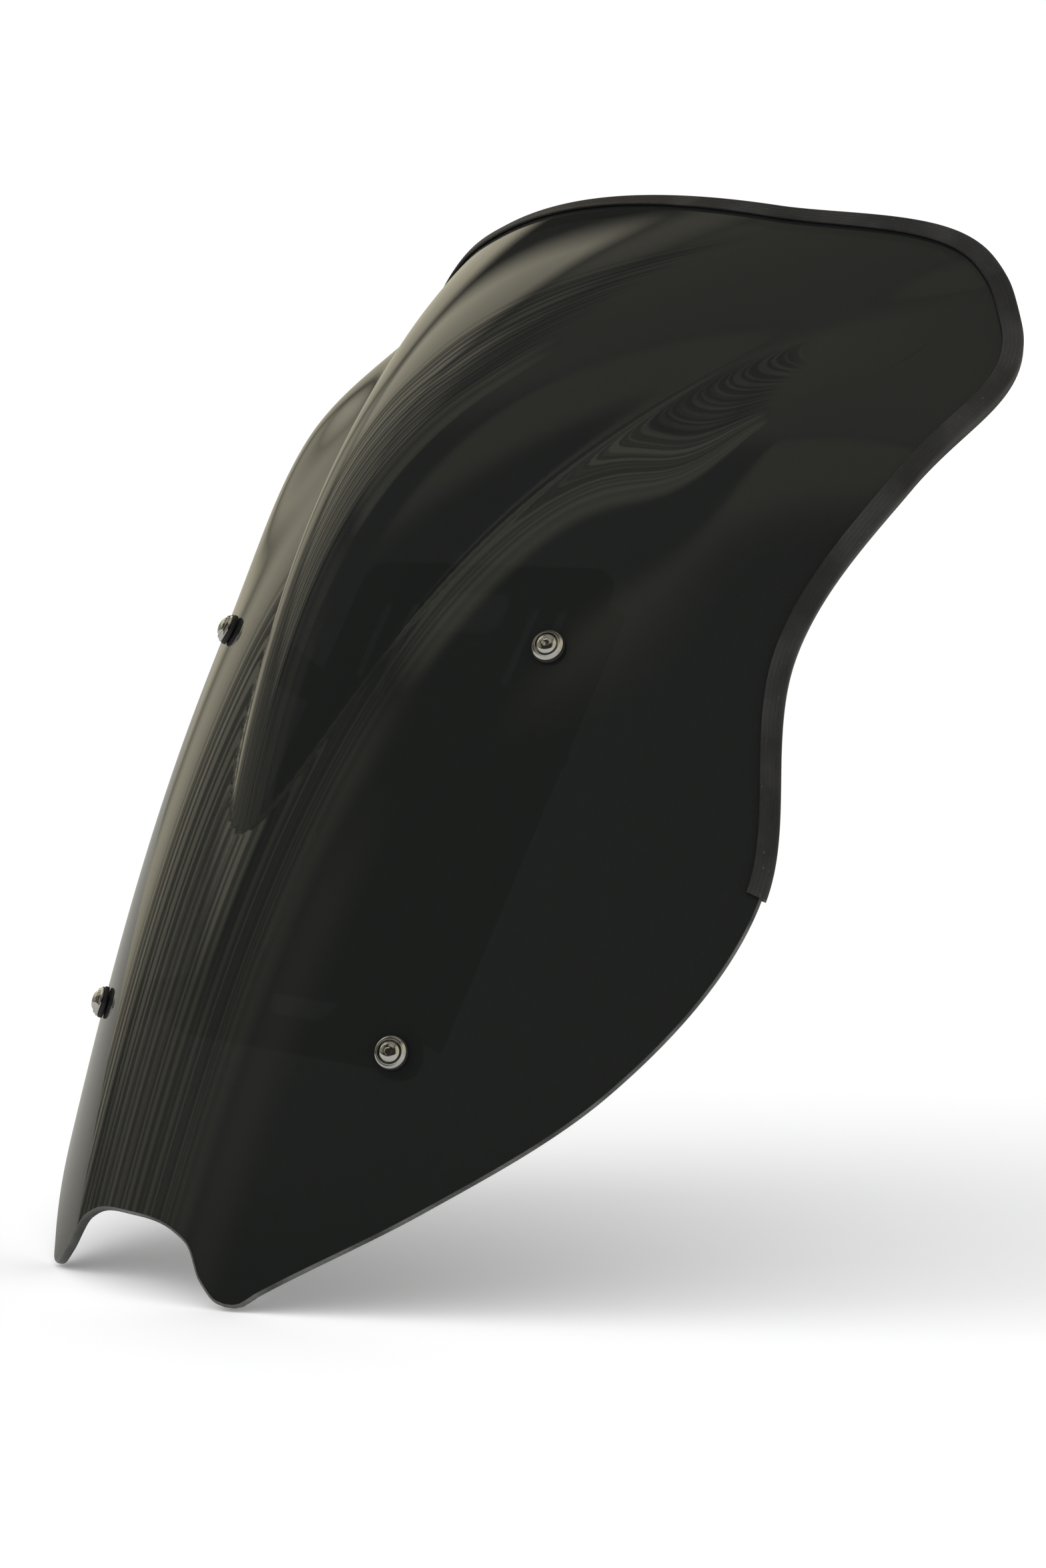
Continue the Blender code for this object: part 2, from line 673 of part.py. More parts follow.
def build_carrier(parent, boss_top):
    """Moulded frame: two rails, two bridges with ribs, and an arm out to each boss."""
    half = RAIL_WIDTH / 2.0
    base = box_mesh((RAIL_U - half, RAIL_V[0], RAIL_W[0]), (RAIL_U + half, RAIL_V[1], RAIL_W[1]))
    carrier = new_object("carrier", base, parent, moulding)
    other = box_mesh((-RAIL_U - half, RAIL_V[0], RAIL_W[0]), (-RAIL_U + half, RAIL_V[1], RAIL_W[1]))
    join(carrier, "rail_right", other, parent)

    reach = RAIL_U - half + BRIDGE_OVERLAP
    wide = BRIDGE_WIDTH / 2.0
    for name, v in (("upper", CLAMP_V), ("lower", GUIDE_V)):
        bridge = box_mesh((-reach, v - wide, BRIDGE_W[0]), (reach, v + wide, BRIDGE_W[1]))
        join(carrier, f"bridge_{name}", bridge, parent)
        rib_low = (-reach + OVERLAP, v - RIB_T / 2.0, BRIDGE_W[1] - OVERLAP)
        rib_high = (reach - OVERLAP, v + RIB_T / 2.0, BRIDGE_W[1] + RIB_RISE)
        join(carrier, f"bridge_rib_{name}", box_mesh(rib_low, rib_high), parent)

    hole_top = boss_top + OVERLAP
    hole_low = boss_top - BOSS_BORE_DEPTH
    for level, side_name, matrix in fixing_places():
        sign = 1.0 if side_name == "left" else -1.0
        label = f"{level}_{side_name}"
        arm = prism_mesh(BOSS_R, boss_top - BOSS_T, boss_top)
        arm.transform(matrix)
        corners_u = (sign * (RAIL_U + ARM_FOOT_U), sign * (RAIL_U + half - ARM_FOOT_INSET))
        for u in corners_u:
            for v in ARM_FOOT_V[level]:
                for w in (RAIL_W[0] + ARM_FOOT_INSET, RAIL_W[1] - ARM_FOOT_INSET):
                    arm.verts.new((u, v, w))
        join(carrier, f"arm_{label}", hull_of(arm), parent)
        hole = prism_mesh(NUT_BODY_R + GAP, hole_low, hole_top)
        drill(carrier, f"boss_hole_{label}", hole, parent, matrix)

    for side_name, sign in SIDES:
        for name, v in (("clamp", CLAMP_V), ("guide", GUIDE_V)):
            hole = prism_mesh(BOLT_HOLE_R, RAIL_W[0] - CUT_MARGIN, RAIL_W[1] + CUT_MARGIN,
                              centre=(sign * RAIL_U, v))
            drill(carrier, f"carrier_hole_{name}_{side_name}", hole, parent)


# ---- Stay plate ----

def build_stay(parent):
    """Plate with rounded corners and rear side flanges, cut with slots, windows and holes."""
    low, high = STAY_REAR_W, STAY_FRONT_W
    plate = box_mesh((-STAY_HALF_WIDTH, STAY_V[0], low), (STAY_HALF_WIDTH, STAY_V[1], high))
    corners = [e for e in plate.edges
               if abs(e.verts[0].co.z - e.verts[1].co.z) > STAY_THICKNESS / 2.0]
    bmesh.ops.bevel(plate, geom=corners, offset=STAY_CORNER, segments=4, profile=0.5,
                    affect="EDGES")
    stay = new_object("stay_plate", plate, parent, coated_steel)
    for side_name, sign in SIDES:
        edges = sorted((sign * STAY_HALF_WIDTH, sign * (STAY_HALF_WIDTH - FLANGE_T)))
        flange = box_mesh((edges[0], STAY_V[0] + FLANGE_SETBACK, low - FLANGE_DEPTH),
                          (edges[1], STAY_V[1] - FLANGE_SETBACK, high - OVERLAP))
        join(stay, f"flange_{side_name}", flange, parent)

    cut_low, cut_high = low - CUT_MARGIN, high + CUT_MARGIN
    length = SHOE_LENGTH + TRAVEL + 2.0 * GAP
    for side_name, sign in SIDES:
        for name, v in (("clamp", CLAMP_V), ("guide", GUIDE_V)):
            centre = (sign * RAIL_U, v + TRAVEL / 2.0)
            slot = stadium_mesh(length, SHOE_BLOCK + 2.0 * GAP, cut_low, cut_high, centre)
            drill(stay, f"slot_{name}_{side_name}", slot, parent)
        for name, direction in (("upper", 1.0), ("lower", -1.0)):
            centre = (sign * WINDOW_U, STAY_CENTRE_V + direction * WINDOW_RISE)
            window = stadium_mesh(WINDOW_LENGTH, WINDOW_WIDTH, cut_low, cut_high, centre)
            drill(stay, f"window_{name}_{side_name}", window, parent)
            centre = (sign * STAY_BOLT_U, STAY_CENTRE_V + direction * STAY_BOLT_RISE)
            hole = prism_mesh(BOLT_HOLE_R, cut_low, cut_high, centre=centre)
            drill(stay, f"stay_hole_{name}_{side_name}", hole, parent)
            build_nut(f"weld_nut_{name}_{side_name}", parent, centre, STAY_FRONT_W + GAP)
    for name, v in CENTRE_WINDOW_V:
        window = stadium_mesh(*CENTRE_WINDOW, cut_low, cut_high, (0.0, v), "U")
        drill(stay, f"window_{name}_centre", window, parent)


def build_nut(name, parent, centre, low):
    nut = new_object(name, prism_mesh(HEX_R, low, low + HEX_NUT_T, 6, centre), parent, zinc)
    bore = prism_mesh(BOLT_HOLE_R, low - OVERLAP, low + HEX_NUT_T + OVERLAP, centre=centre)
    drill(nut, f"{name}_bore", bore, parent)


# ---- Slide hardware ----

def build_shoe(name, parent, centre):
    """Nylon shoe: a pad between carrier and stay, with a block that runs in the slot."""
    pad_top = RAIL_W[0] - GAP
    pad_low = STAY_FRONT_W + GAP
    u, v = centre
    wide, tall = SHOE_PAD[0] / 2.0, SHOE_PAD[1] / 2.0
    pad = box_mesh((u - wide, v - tall, pad_low), (u + wide, v + tall, pad_top))
    shoe = new_object(name, pad, parent, nylon)
    block = stadium_mesh(SHOE_LENGTH, SHOE_BLOCK, STAY_REAR_W + GAP, pad_top - OVERLAP, centre)
    join(shoe, f"{name}_block", block, parent)
    bore = prism_mesh(BOLT_HOLE_R, STAY_REAR_W - CUT_MARGIN, pad_top + CUT_MARGIN, centre=centre)
    drill(shoe, f"{name}_bore", bore, parent)


def build_clamp(screen, side_name, sign):
    """Upper slide point: stud, washer, and the knob that turns on the stud to lock the height."""
    place = Matrix.Translation((sign * RAIL_U, CLAMP_V, 0.0))
    build_shoe(f"slide_shoe_upper_{side_name}", screen, (sign * RAIL_U, CLAMP_V))
    washer_high = STAY_REAR_W - GAP
    washer_low = washer_high - WASHER_T
    washer = ring_profile(BOLT_HOLE_R, WASHER_R, washer_low, washer_high)
    turned(f"clamp_washer_{side_name}", washer, True, screen, zinc, place)

    neck_top = washer_low - GAP
    seat = RAIL_W[1] + GAP
    end = neck_top - KNOB_INSERT_LENGTH
    rim, crown = STUD_HEAD_R
    low, shoulder, high = STUD_HEAD_H
    stud = ((0.0, seat + high), (crown, seat + shoulder), (rim, seat + low),
            (rim, seat), (BOLT_R, seat), (BOLT_R, end), (0.0, end))
    turned(f"clamp_stud_{side_name}", stud, False, screen, zinc, place)

    hub = new_empty(f"clamp_knob_frame_{side_name}", screen, place)
    grip_top = neck_top - KNOB_NECK_T
    grip = prism_mesh(KNOB_R, grip_top - KNOB_GRIP_T, grip_top, KNOB_SEGMENTS)
    for vert in grip.verts:
        angle = math.atan2(vert.co.y, vert.co.x)
        lobe = 1.0 + KNOB_LOBE * math.cos(KNOB_LOBES * angle)
        vert.co.x *= lobe
        vert.co.y *= lobe
    knob = new_object(f"clamp_knob_{side_name}", grip, hub, moulding)
    smooth(knob)
    rounding = knob.modifiers.new("rounding", "BEVEL")
    rounding.width = KNOB_ROUNDING
    rounding.segments = 1
    rounding.limit_method = "ANGLE"
    rounding.angle_limit = math.radians(60.0)
    neck = prism_mesh(KNOB_NECK_R, grip_top - OVERLAP, neck_top, KNOB_NECK_SEGMENTS)
    join(knob, f"knob_neck_{side_name}", neck, hub)
    socket = prism_mesh(KNOB_SOCKET_R, end - GAP, neck_top + OVERLAP)
    drill(knob, f"knob_socket_{side_name}", socket, hub)
    insert = ring_profile(BOLT_HOLE_R, KNOB_INSERT_R, end, neck_top - GAP)
    turned(f"clamp_knob_insert_{side_name}", insert, True, hub, brass)


def build_guide(screen, side_name, sign):
    """Lower slide point: a screw from behind, through washer, slot and shoe, into a nut."""
    place = Matrix.Translation((sign * RAIL_U, GUIDE_V, 0.0))
    build_shoe(f"slide_shoe_lower_{side_name}", screen, (sign * RAIL_U, GUIDE_V))
    washer_high = STAY_REAR_W - GAP
    washer_low = washer_high - WASHER_T
    washer = ring_profile(BOLT_HOLE_R, WASHER_R, washer_low, washer_high)
    turned(f"guide_washer_{side_name}", washer, True, screen, zinc, place)

    seat = washer_low - GAP
    tip = RAIL_W[1] + GAP + HEX_NUT_T + GUIDE_TIP
    rim, crown = GUIDE_HEAD_R
    head_low = seat - GUIDE_HEAD_H[0]
    head_end = seat - GUIDE_HEAD_H[1]
    screw = ((0.0, tip), (BOLT_R - SCREW_CHAMFER, tip), (BOLT_R, tip - SCREW_CHAMFER),
             (BOLT_R, seat), (rim, seat), (rim, head_low), (crown, head_end), (0.0, head_end))
    guide = turned(f"guide_screw_{side_name}", screw, False, screen, zinc, place)
    key = prism_mesh(GUIDE_KEY_R, head_end - OVERLAP, head_end + GUIDE_KEY_DEPTH, 6)
    drill(guide, f"guide_key_{side_name}", key, screen, place)
    build_nut(f"guide_nut_{side_name}", screen, (sign * RAIL_U, GUIDE_V), RAIL_W[1] + GAP)


# ---- Assembly ----

clear_scene()
parts = new_collection("windshield_screen")
cutters = new_collection("cutters")

acrylic = new_material("smoke_acrylic", (0.012, 0.013, 0.012), 0.06)
rubber = new_material("black_rubber", (0.018, 0.018, 0.018), 0.65)
spring_steel = new_material("spring_steel", (0.45, 0.45, 0.46), 0.35, 1.0)
polished_steel = new_material("polished_stainless", (0.72, 0.72, 0.72), 0.18, 1.0)
nylon = new_material("black_nylon", (0.02, 0.02, 0.022), 0.5)
brass = new_material("brass", (0.72, 0.52, 0.22), 0.3, 1.0)
moulding = new_material("black_moulding", (0.025, 0.025, 0.027), 0.55)
coated_steel = new_material("black_coated_steel", (0.03, 0.03, 0.032), 0.42, 0.2)
zinc = new_material("zinc_plate", (0.58, 0.59, 0.61), 0.32, 1.0)

slope = Matrix.Rotation(RAKE, 4, "X")
slope.translation = -(slope @ Vector((0.0, STAY_CENTRE_V, STAY_REAR_W)))
stay_frame = new_empty("stay_frame", None, slope)
screen_frame = new_empty("screen_frame", stay_frame)

outline_rows, inner_rows = build_sheet(screen_frame)
build_trim(screen_frame, outline_rows, inner_rows)
flange_bottom = 0.0
for fixing_level, fixing_side, fixing_matrix in fixing_places():
    fixing_label = f"{fixing_level}_{fixing_side}"
    flange_bottom = build_fixing(screen_frame, fixing_label, fixing_matrix)
build_carrier(screen_frame, flange_bottom - GAP)
build_stay(stay_frame)
for clamp_side, clamp_sign in SIDES:
    build_clamp(screen_frame, clamp_side, clamp_sign)
    build_guide(screen_frame, clamp_side, clamp_sign)
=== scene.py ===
"""Looks of the windshield screen: the finished meshes, the materials, the light and the camera.

The layout frame is the slope of the stay plate: u across the bike (+X, the rider's left), v up the
slope and w out of the slope, forwards.  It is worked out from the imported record.  The form of the
sheet is the same set of formulas as in the CAD, sampled much more finely.
"""

import json
import math

import bmesh
import bpy
from mathutils import Matrix, Vector


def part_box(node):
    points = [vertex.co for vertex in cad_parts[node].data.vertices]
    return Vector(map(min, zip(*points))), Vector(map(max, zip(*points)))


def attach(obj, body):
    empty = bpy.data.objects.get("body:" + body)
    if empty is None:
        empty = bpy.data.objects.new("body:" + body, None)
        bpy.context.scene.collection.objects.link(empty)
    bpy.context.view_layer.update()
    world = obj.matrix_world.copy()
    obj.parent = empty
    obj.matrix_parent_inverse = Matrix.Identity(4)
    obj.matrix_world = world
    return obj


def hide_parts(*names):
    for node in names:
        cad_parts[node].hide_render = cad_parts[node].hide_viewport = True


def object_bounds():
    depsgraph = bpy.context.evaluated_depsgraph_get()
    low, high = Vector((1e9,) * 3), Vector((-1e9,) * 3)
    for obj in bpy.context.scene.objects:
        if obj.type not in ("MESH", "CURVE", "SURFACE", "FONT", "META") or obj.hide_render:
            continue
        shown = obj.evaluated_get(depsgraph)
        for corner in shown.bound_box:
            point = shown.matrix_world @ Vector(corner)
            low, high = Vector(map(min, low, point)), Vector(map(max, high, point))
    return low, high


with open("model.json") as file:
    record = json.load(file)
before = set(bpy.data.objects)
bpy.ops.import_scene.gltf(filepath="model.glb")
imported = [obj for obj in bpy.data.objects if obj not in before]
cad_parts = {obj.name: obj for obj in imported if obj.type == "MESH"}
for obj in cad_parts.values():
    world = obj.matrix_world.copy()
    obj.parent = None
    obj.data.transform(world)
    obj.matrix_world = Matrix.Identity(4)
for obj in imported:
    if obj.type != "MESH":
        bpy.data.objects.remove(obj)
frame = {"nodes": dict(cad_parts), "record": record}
cad_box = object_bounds()
MM = 0.001

# ---- Slope frame and clearances, as in the CAD ----
STAY_CENTRE_V = -15.0 * MM
STAY_FRONT_W = -70.0 * MM
STAY_REAR_W = -74.0 * MM
GAP = 0.3 * MM
CURVE_GAP = 0.6 * MM

# ---- Acrylic sheet: the CAD's form ----
SHEET_THICKNESS = 4.0 * MM
REACH = 250.0 * MM
BOW = 45.7 * MM
BOW_TOP = 13.5 * MM
ARCH_RADIUS = 191.5 * MM
ARCH_GAIN = 1.02
ARCH_RELAX = 0.48
EDGE_U = 200.0 * MM
TUCK = 11.6 * MM
TUCK_GAIN = 6.2 * MM
TUCK_BOW = -22.5 * MM
FLARE = -16.7 * MM
FLARE_V = (165.0 * MM, 268.0 * MM)
SHOULDER = 9.0 * MM
SHOULDER_PLACE = (165.0 * MM, 166.0 * MM)
SHOULDER_SPREAD = (40.0 * MM, 70.0 * MM)
DOME_NOSE_V = -67.2 * MM
DOME_NOSE_RADIUS = 7.9 * MM
DOME_SPREAD = 45.8 * MM
DOME_HEIGHT = 29.2 * MM
DOME_RUN = 228.7 * MM
DOME_POWER = 2.02
CREASE_SOFTNESS = 1.8 * MM

# ---- Acrylic sheet: the CAD's outline, from the notch round the left side to the top centre ----
OUTLINE_MM = (
    (0.0, -238.9), (29.3, -241.1), (37.4, -244.3), (49.5, -258.2),
    (58.9, -263.8),
    (67.6, -262.7), (75.6, -254.8), (128.6, -199.8), (180.1, -127.0),
    (210.3, -27.5),
    (197.9, 63.8), (210.9, 260.2),
    (187.2, 290.1),
    (93.6, 290.9), (0.0, 291.1),
)
LOBE_TIP, TRIM_END, WING_START, WING_CORNER, TOP_CENTRE = 4, 9, 11, 12, 14

# ---- Acrylic sheet: the visible mesh ----
ACROSS_CELLS = 84
LOWER_SIDE_CELLS = 76
WAIST_CELLS = 100
WING_CELLS = 18
SIDE_CELLS = LOWER_SIDE_CELLS + WAIST_CELLS + WING_CELLS
EDGE_RADIUS = 1.3 * MM
EDGE_STEPS = 4
SHEET_HOLE_R = 3.4 * MM
HOLE_OPENING = 6.0 * MM
HOLE_SEGMENTS = 48

# ---- Edge trim ----
TRIM_DEPTH = 7.5 * MM
TRIM_GAP = 0.35 * MM
TRIM_WALL = 1.5 * MM
TRIM_CORNER = 1.5 * MM
TRIM_TIP = 0.45 * MM
TRIM_CAVITY = 0.7 * MM
TRIM_LIP = 0.5 * MM
CORE_WALL = 0.3 * MM
CORE_SETBACK = 0.2 * MM
GROOVE_DEPTH = 0.28 * MM
GROOVE_WIDTH = 0.75 * MM
GROOVE_PLACES = (5.9 * MM, 4.1 * MM, 2.3 * MM, 0.5 * MM)
TRIM_SAMPLES = (0.0, 2.5 * MM, 5.0 * MM, 7.5 * MM)

# ---- Angles at which shading and bevels take an edge as sharp ----
TURNED_CREASE = math.radians(38.0)
TRIM_CREASE = math.radians(50.0)
BEVEL_ANGLE = math.radians(40.0)

# ---- Screen fixings ----
SIDES = (("left", 1.0), ("right", -1.0))
LEVELS = ("upper", "lower")
SEAL_R = 7.4 * MM
SEAL_T = 2.2 * MM
CUP_R = 7.0 * MM
CUP_RIM_H = 0.6 * MM
CUP_TOP_R = 5.6 * MM
CUP_TOP_H = 2.2 * MM
CUP_SEAT_R = 5.15 * MM
CUP_SEAT_H = 0.9 * MM
BORE_R = 2.8 * MM
SCREW_R = 2.45 * MM
SCREW_HEAD_R = 4.75 * MM
SCREW_HEAD_H = 2.7 * MM
SCREW_CROWN_R = 2.1 * MM
SCREW_LENGTH = 20.0 * MM
SCREW_SHANK = 3.0 * MM
SCREW_KEY_R = 1.75 * MM
SCREW_KEY_DEPTH = 1.5 * MM
KEY_CHAMFER_R = 0.14 * MM
KEY_CHAMFER_H = 0.12 * MM
THREAD_PITCH = 0.8 * MM
THREAD_DEPTH = 0.4 * MM
NUT_FLANGE_R = 7.0 * MM
NUT_FLANGE_T = 1.5 * MM
NUT_BODY_R = 5.0 * MM
NUT_LENGTH = 14.0 * MM
INSERT_R = 3.9 * MM
INSERT_LENGTH = 5.5 * MM

# ---- Carrier, stay and slide hardware ----
RAIL_FRONT_W = -61.0 * MM
CARRIER_EDGE = 0.6 * MM
PLATE_EDGE = 0.5 * MM
SHOE_EDGE = 0.4 * MM
BOLT_R = 3.0 * MM
BOLT_HOLE_R = 3.3 * MM
WASHER_R = 11.0 * MM
WASHER_T = 1.6 * MM
HEX_R = 5.77 * MM
HEX_NUT_T = 5.5 * MM
NUT_CHAMFER = 0.55 * MM
NUT_MOUTH = 0.4 * MM
KNOB_R = 17.0 * MM
KNOB_LOBE = 0.09
KNOB_LOBES = 6
KNOB_GRIP_T = 13.0 * MM
KNOB_NECK_R = 9.0 * MM
KNOB_NECK_T = 5.0 * MM
KNOB_SOCKET_R = 5.3 * MM
KNOB_INSERT_R = 5.0 * MM
KNOB_INSERT_LENGTH = 11.5 * MM
KNOB_CAP_R = 9.5 * MM
KNOB_GROOVE_WIDTH = 1.2 * MM
KNOB_GROOVE_DEPTH = 0.9 * MM
STUD_HEAD_R = 6.0 * MM
STUD_HEAD_H = 3.4 * MM
GUIDE_HEAD_R = 5.25 * MM
GUIDE_HEAD_H = 3.3 * MM
GUIDE_KEY_R = 2.3 * MM
GUIDE_KEY_DEPTH = 1.8 * MM
GUIDE_TIP = 1.5 * MM


# =====================================================================================
# Form of the sheet
# =====================================================================================

def clamp01(x):
    return min(max(x, 0.0), 1.0)


def crease_half_width(v):
    """Half width of the dome at v: a rounded nose that spreads towards the top."""
    t = max(v - DOME_NOSE_V, 0.0)
    return math.sqrt(2.0 * DOME_NOSE_RADIUS * t) + DOME_SPREAD * (t / REACH) ** 3


def dome_height(u, v):
    """Height of the raised dome above the arch, with a soft groove at its foot."""
    rise = math.sin(0.5 * math.pi * clamp01((v - DOME_NOSE_V) / DOME_RUN))
    if rise <= 0.0:
        return 0.0
    height = DOME_HEIGHT * rise
    soft = CREASE_SOFTNESS * rise
    q = abs(u) / crease_half_width(v)
    if q < 1.0:
        level = height * (1.0 - q ** DOME_POWER)
    else:
        level = height * DOME_POWER * (1.0 - q)
    return 0.5 * (level + math.hypot(level, soft))


def shoulder_height(u, v):
    """Gentle swell of each flank beside the dome, above the waist."""
    across = (abs(u) - SHOULDER_PLACE[0]) / SHOULDER_SPREAD[0]
    along = (v - SHOULDER_PLACE[1]) / SHOULDER_SPREAD[1]
    return SHOULDER * math.exp(-across ** 2 - along ** 2)


def sheet_w(u, v):
    """Height w of the sheet's front face above the slope at (u, v)."""
    s = v / REACH
    bow = -BOW * s ** 2 - BOW_TOP * s ** 3
    arch = (ARCH_GAIN - ARCH_RELAX * s) * (math.hypot(u, ARCH_RADIUS) - ARCH_RADIUS)
    start, end = FLARE_V
    lift = math.sin(0.5 * math.pi * clamp01((v - start) / (end - start))) ** 2
    tuck = TUCK + TUCK_GAIN * s + TUCK_BOW * s ** 2
    edge = (FLARE * lift - tuck) * (abs(u) / EDGE_U) ** 4
    return bow - arch + edge + shoulder_height(u, v) + dome_height(u, v)


def sheet_point(u, v):
    return Vector((u, v, sheet_w(u, v)))


def sheet_normal(u, v):
    """Unit normal of the front face, by central differences."""
    step = 0.5 * MM
    along_u = sheet_point(u + step, v) - sheet_point(u - step, v)
    along_v = sheet_point(u, v + step) - sheet_point(u, v - step)
    return along_u.cross(along_v).normalized()


def outline_curve():
    """The outline's knots, their chord-length parameters and their tangents."""
    knots = [Vector(p) * MM for p in OUTLINE_MM]
    lengths = [(b - a).length for a, b in zip(knots, knots[1:])]
    params = [sum(lengths[:i]) for i in range(len(knots))]
    slopes = [(b - a) / n for a, b, n in zip(knots, knots[1:], lengths)]
    tangents = [Vector((slopes[0].x, 0.0))]
    for i in range(1, len(knots) - 1):
        ahead = lengths[i] / (lengths[i] + lengths[i - 1])
        tangents.append(slopes[i - 1] * ahead + slopes[i] * (1.0 - ahead))
    tangents.append(Vector((slopes[-1].x, 0.0)))
    return knots, params, tangents


def outline_at(curve, knot, fraction):
    """Point and direction on the cubic span after a knot."""
    knots, params, tangents = curve
    x = fraction
    span = params[knot + 1] - params[knot]
    a, b = knots[knot], knots[knot + 1]
    ta, tb = tangents[knot] * span, tangents[knot + 1] * span
    point = (a * (2 * x ** 3 - 3 * x ** 2 + 1) + ta * (x ** 3 - 2 * x ** 2 + x)
             + b * (3 * x ** 2 - 2 * x ** 3) + tb * (x ** 3 - x ** 2))
    direction = (a * (6 * x ** 2 - 6 * x) + ta * (3 * x ** 2 - 4 * x + 1)
                 + b * (6 * x - 6 * x ** 2) + tb * (3 * x ** 2 - 2 * x))
    return point, direction.normalized()


def outline_stretch(curve, first, last, cells):
    """Evenly spaced points and directions from knot `first` up to, not including, knot `last`."""
    params = curve[1]
    stretch = []
    for i in range(cells):
        at = params[first] + (params[last] - params[first]) * i / cells
        knot = max(k for k in range(first, last) if params[k] <= at + 1e-9)
        fraction = (at - params[knot]) / (params[knot + 1] - params[knot])
        stretch.append(outline_at(curve, knot, fraction))
    return stretch


def half_outline():
    """Points and directions of the half outline, from the notch centre to the top centre."""
    curve = outline_curve()
    rows = outline_stretch(curve, 0, LOBE_TIP, ACROSS_CELLS)
    rows += outline_stretch(curve, LOBE_TIP, TRIM_END, LOWER_SIDE_CELLS)
    rows += outline_stretch(curve, TRIM_END, WING_START, WAIST_CELLS)
    rows += outline_stretch(curve, WING_START, WING_CORNER, WING_CELLS)
    rows += outline_stretch(curve, WING_CORNER, TOP_CENTRE, ACROSS_CELLS)
    rows.append((curve[0][TOP_CENTRE], Vector((-1.0, 0.0))))
    return rows


def inset_point(point, direction, distance):
    """The outline point moved inwards over the curved face by a distance."""
    inward = Vector((-direction.y, direction.x))
    rise = sheet_w(*(point + inward * MM)) - sheet_w(*point)
    return point + inward * distance / math.hypot(1.0, rise / MM)


outline_rows = half_outline()


# =====================================================================================
# Placing and mesh helpers
# =====================================================================================

def slope_matrix():
    """The slope frame in the world: v along the slide, w against the mount's rear normal."""
    record = frame["record"]
    slide = next(j for j in record["behaviour"]["joints"] if j["name"] == "screen_height")
    rear = record["mounts"][0]
    up = Vector(slide["axis"]).normalized()
    out = -Vector(rear["axis"]).normalized()
    across = up.cross(out)
    matrix = Matrix((across, up, out)).transposed().to_4x4()
    centre = Vector((0.0, STAY_CENTRE_V, STAY_REAR_W))
    matrix.translation = Vector(rear["pos_m"]) - matrix.to_3x3() @ centre
    return matrix


slope = slope_matrix()


def node_centre(node):
    """Centre of a CAD node's box, in the slope frame."""
    low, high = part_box(node)
    return slope.inverted() @ ((Vector(low) + Vector(high)) / 2.0)


def add_piece(name, mesh, body, finish, replaced):
    """A visible piece that stands for CAD nodes and rides on a CAD body."""
    mesh.transform(slope)
    obj = bpy.data.objects.new(name, mesh)
    bpy.context.scene.collection.objects.link(obj)
    mesh.materials.append(finish)
    mesh.shade_smooth()
    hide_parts(*replaced)
    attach(obj, body)
    return obj


def mesh_from(name, bm):
    """A mesh from an edit mesh, which is freed, with its faces turned outwards."""
    bmesh.ops.recalc_face_normals(bm, faces=bm.faces)
    mesh = bpy.data.meshes.new(name)
    bm.to_mesh(mesh)
    bm.free()
    return mesh


FILLET_SHARE = 0.45


def fillet(profile, closed, steps=3):
    """Round a profile's corners; each point is (radius, height, form, rounding).

    A fillet takes at most its share of the edges beside it.
    """
    count = len(profile)
    rounded = []
    for i, (r, z, form, rounding) in enumerate(profile):
        if rounding == 0.0 or (not closed and i in (0, count - 1)):
            rounded.append((r, z, form))
            continue
        here = Vector((r, z))
        before = Vector(profile[i - 1][:2]) - here
        after = Vector(profile[(i + 1) % count][:2]) - here
        start = here + before.normalized() * min(rounding, FILLET_SHARE * before.length)
        end = here + after.normalized() * min(rounding, FILLET_SHARE * after.length)
        for k in range(steps + 1):
            t = k / steps
            point = start * (1 - t) ** 2 + here * 2 * t * (1 - t) + end * t ** 2
            rounded.append((point.x, point.y, form))
    return rounded


def ring_radius(radius, angle, form):
    """Radius of a ring at an angle: round, hexagonal with that corner radius, or lobed."""
    if form == "hex":
        turn = (angle + math.pi / 6.0) % (math.pi / 3.0) - math.pi / 6.0
        return radius * math.cos(math.pi / 6.0) / math.cos(turn)
    if form == "lobed":
        return radius * (1.0 + KNOB_LOBE * math.cos(KNOB_LOBES * angle))
    return radius


def revolved(name, profile, closed, segments=72):
    """A turned piece from a profile; an open profile begins and ends on the axis."""
    bm = bmesh.new()
    rings = []
    for r, z, form in fillet(profile, closed):
        if r == 0.0:
            rings.append([bm.verts.new((0.0, 0.0, z))])
            continue
        ring = []
        for k in range(segments):
            angle = 2.0 * math.pi * k / segments
            reach = ring_radius(r, angle, form)
            ring.append(bm.verts.new((reach * math.cos(angle), reach * math.sin(angle), z)))
        rings.append(ring)
    pairs = list(zip(rings, rings[1:]))
    if closed:
        pairs.append((rings[-1], rings[0]))
    for a, b in pairs:
        for k in range(segments):
            m = (k + 1) % segments
            if len(a) == 1:
                bm.faces.new((a[0], b[m], b[k]))
            elif len(b) == 1:
                bm.faces.new((a[k], a[m], b[0]))
            else:
                bm.faces.new((a[k], a[m], b[m], b[k]))
    mesh = mesh_from(name, bm)
    mesh.shade_smooth()
    mesh.set_sharp_from_angle(angle=TURNED_CREASE)
    return mesh


def turned_piece(name, profile, closed, body, finish, node, place, segments=72):
    """A turned piece in place of a CAD node, kept crisp at its sharp corners."""
    mesh = revolved(name, profile, closed, segments)
    obj = bpy.data.objects.new(name, mesh)
    obj.matrix_world = slope @ place
    bpy.context.scene.collection.objects.link(obj)
    mesh.materials.append(finish)
    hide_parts(node)
    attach(obj, body)
    return obj


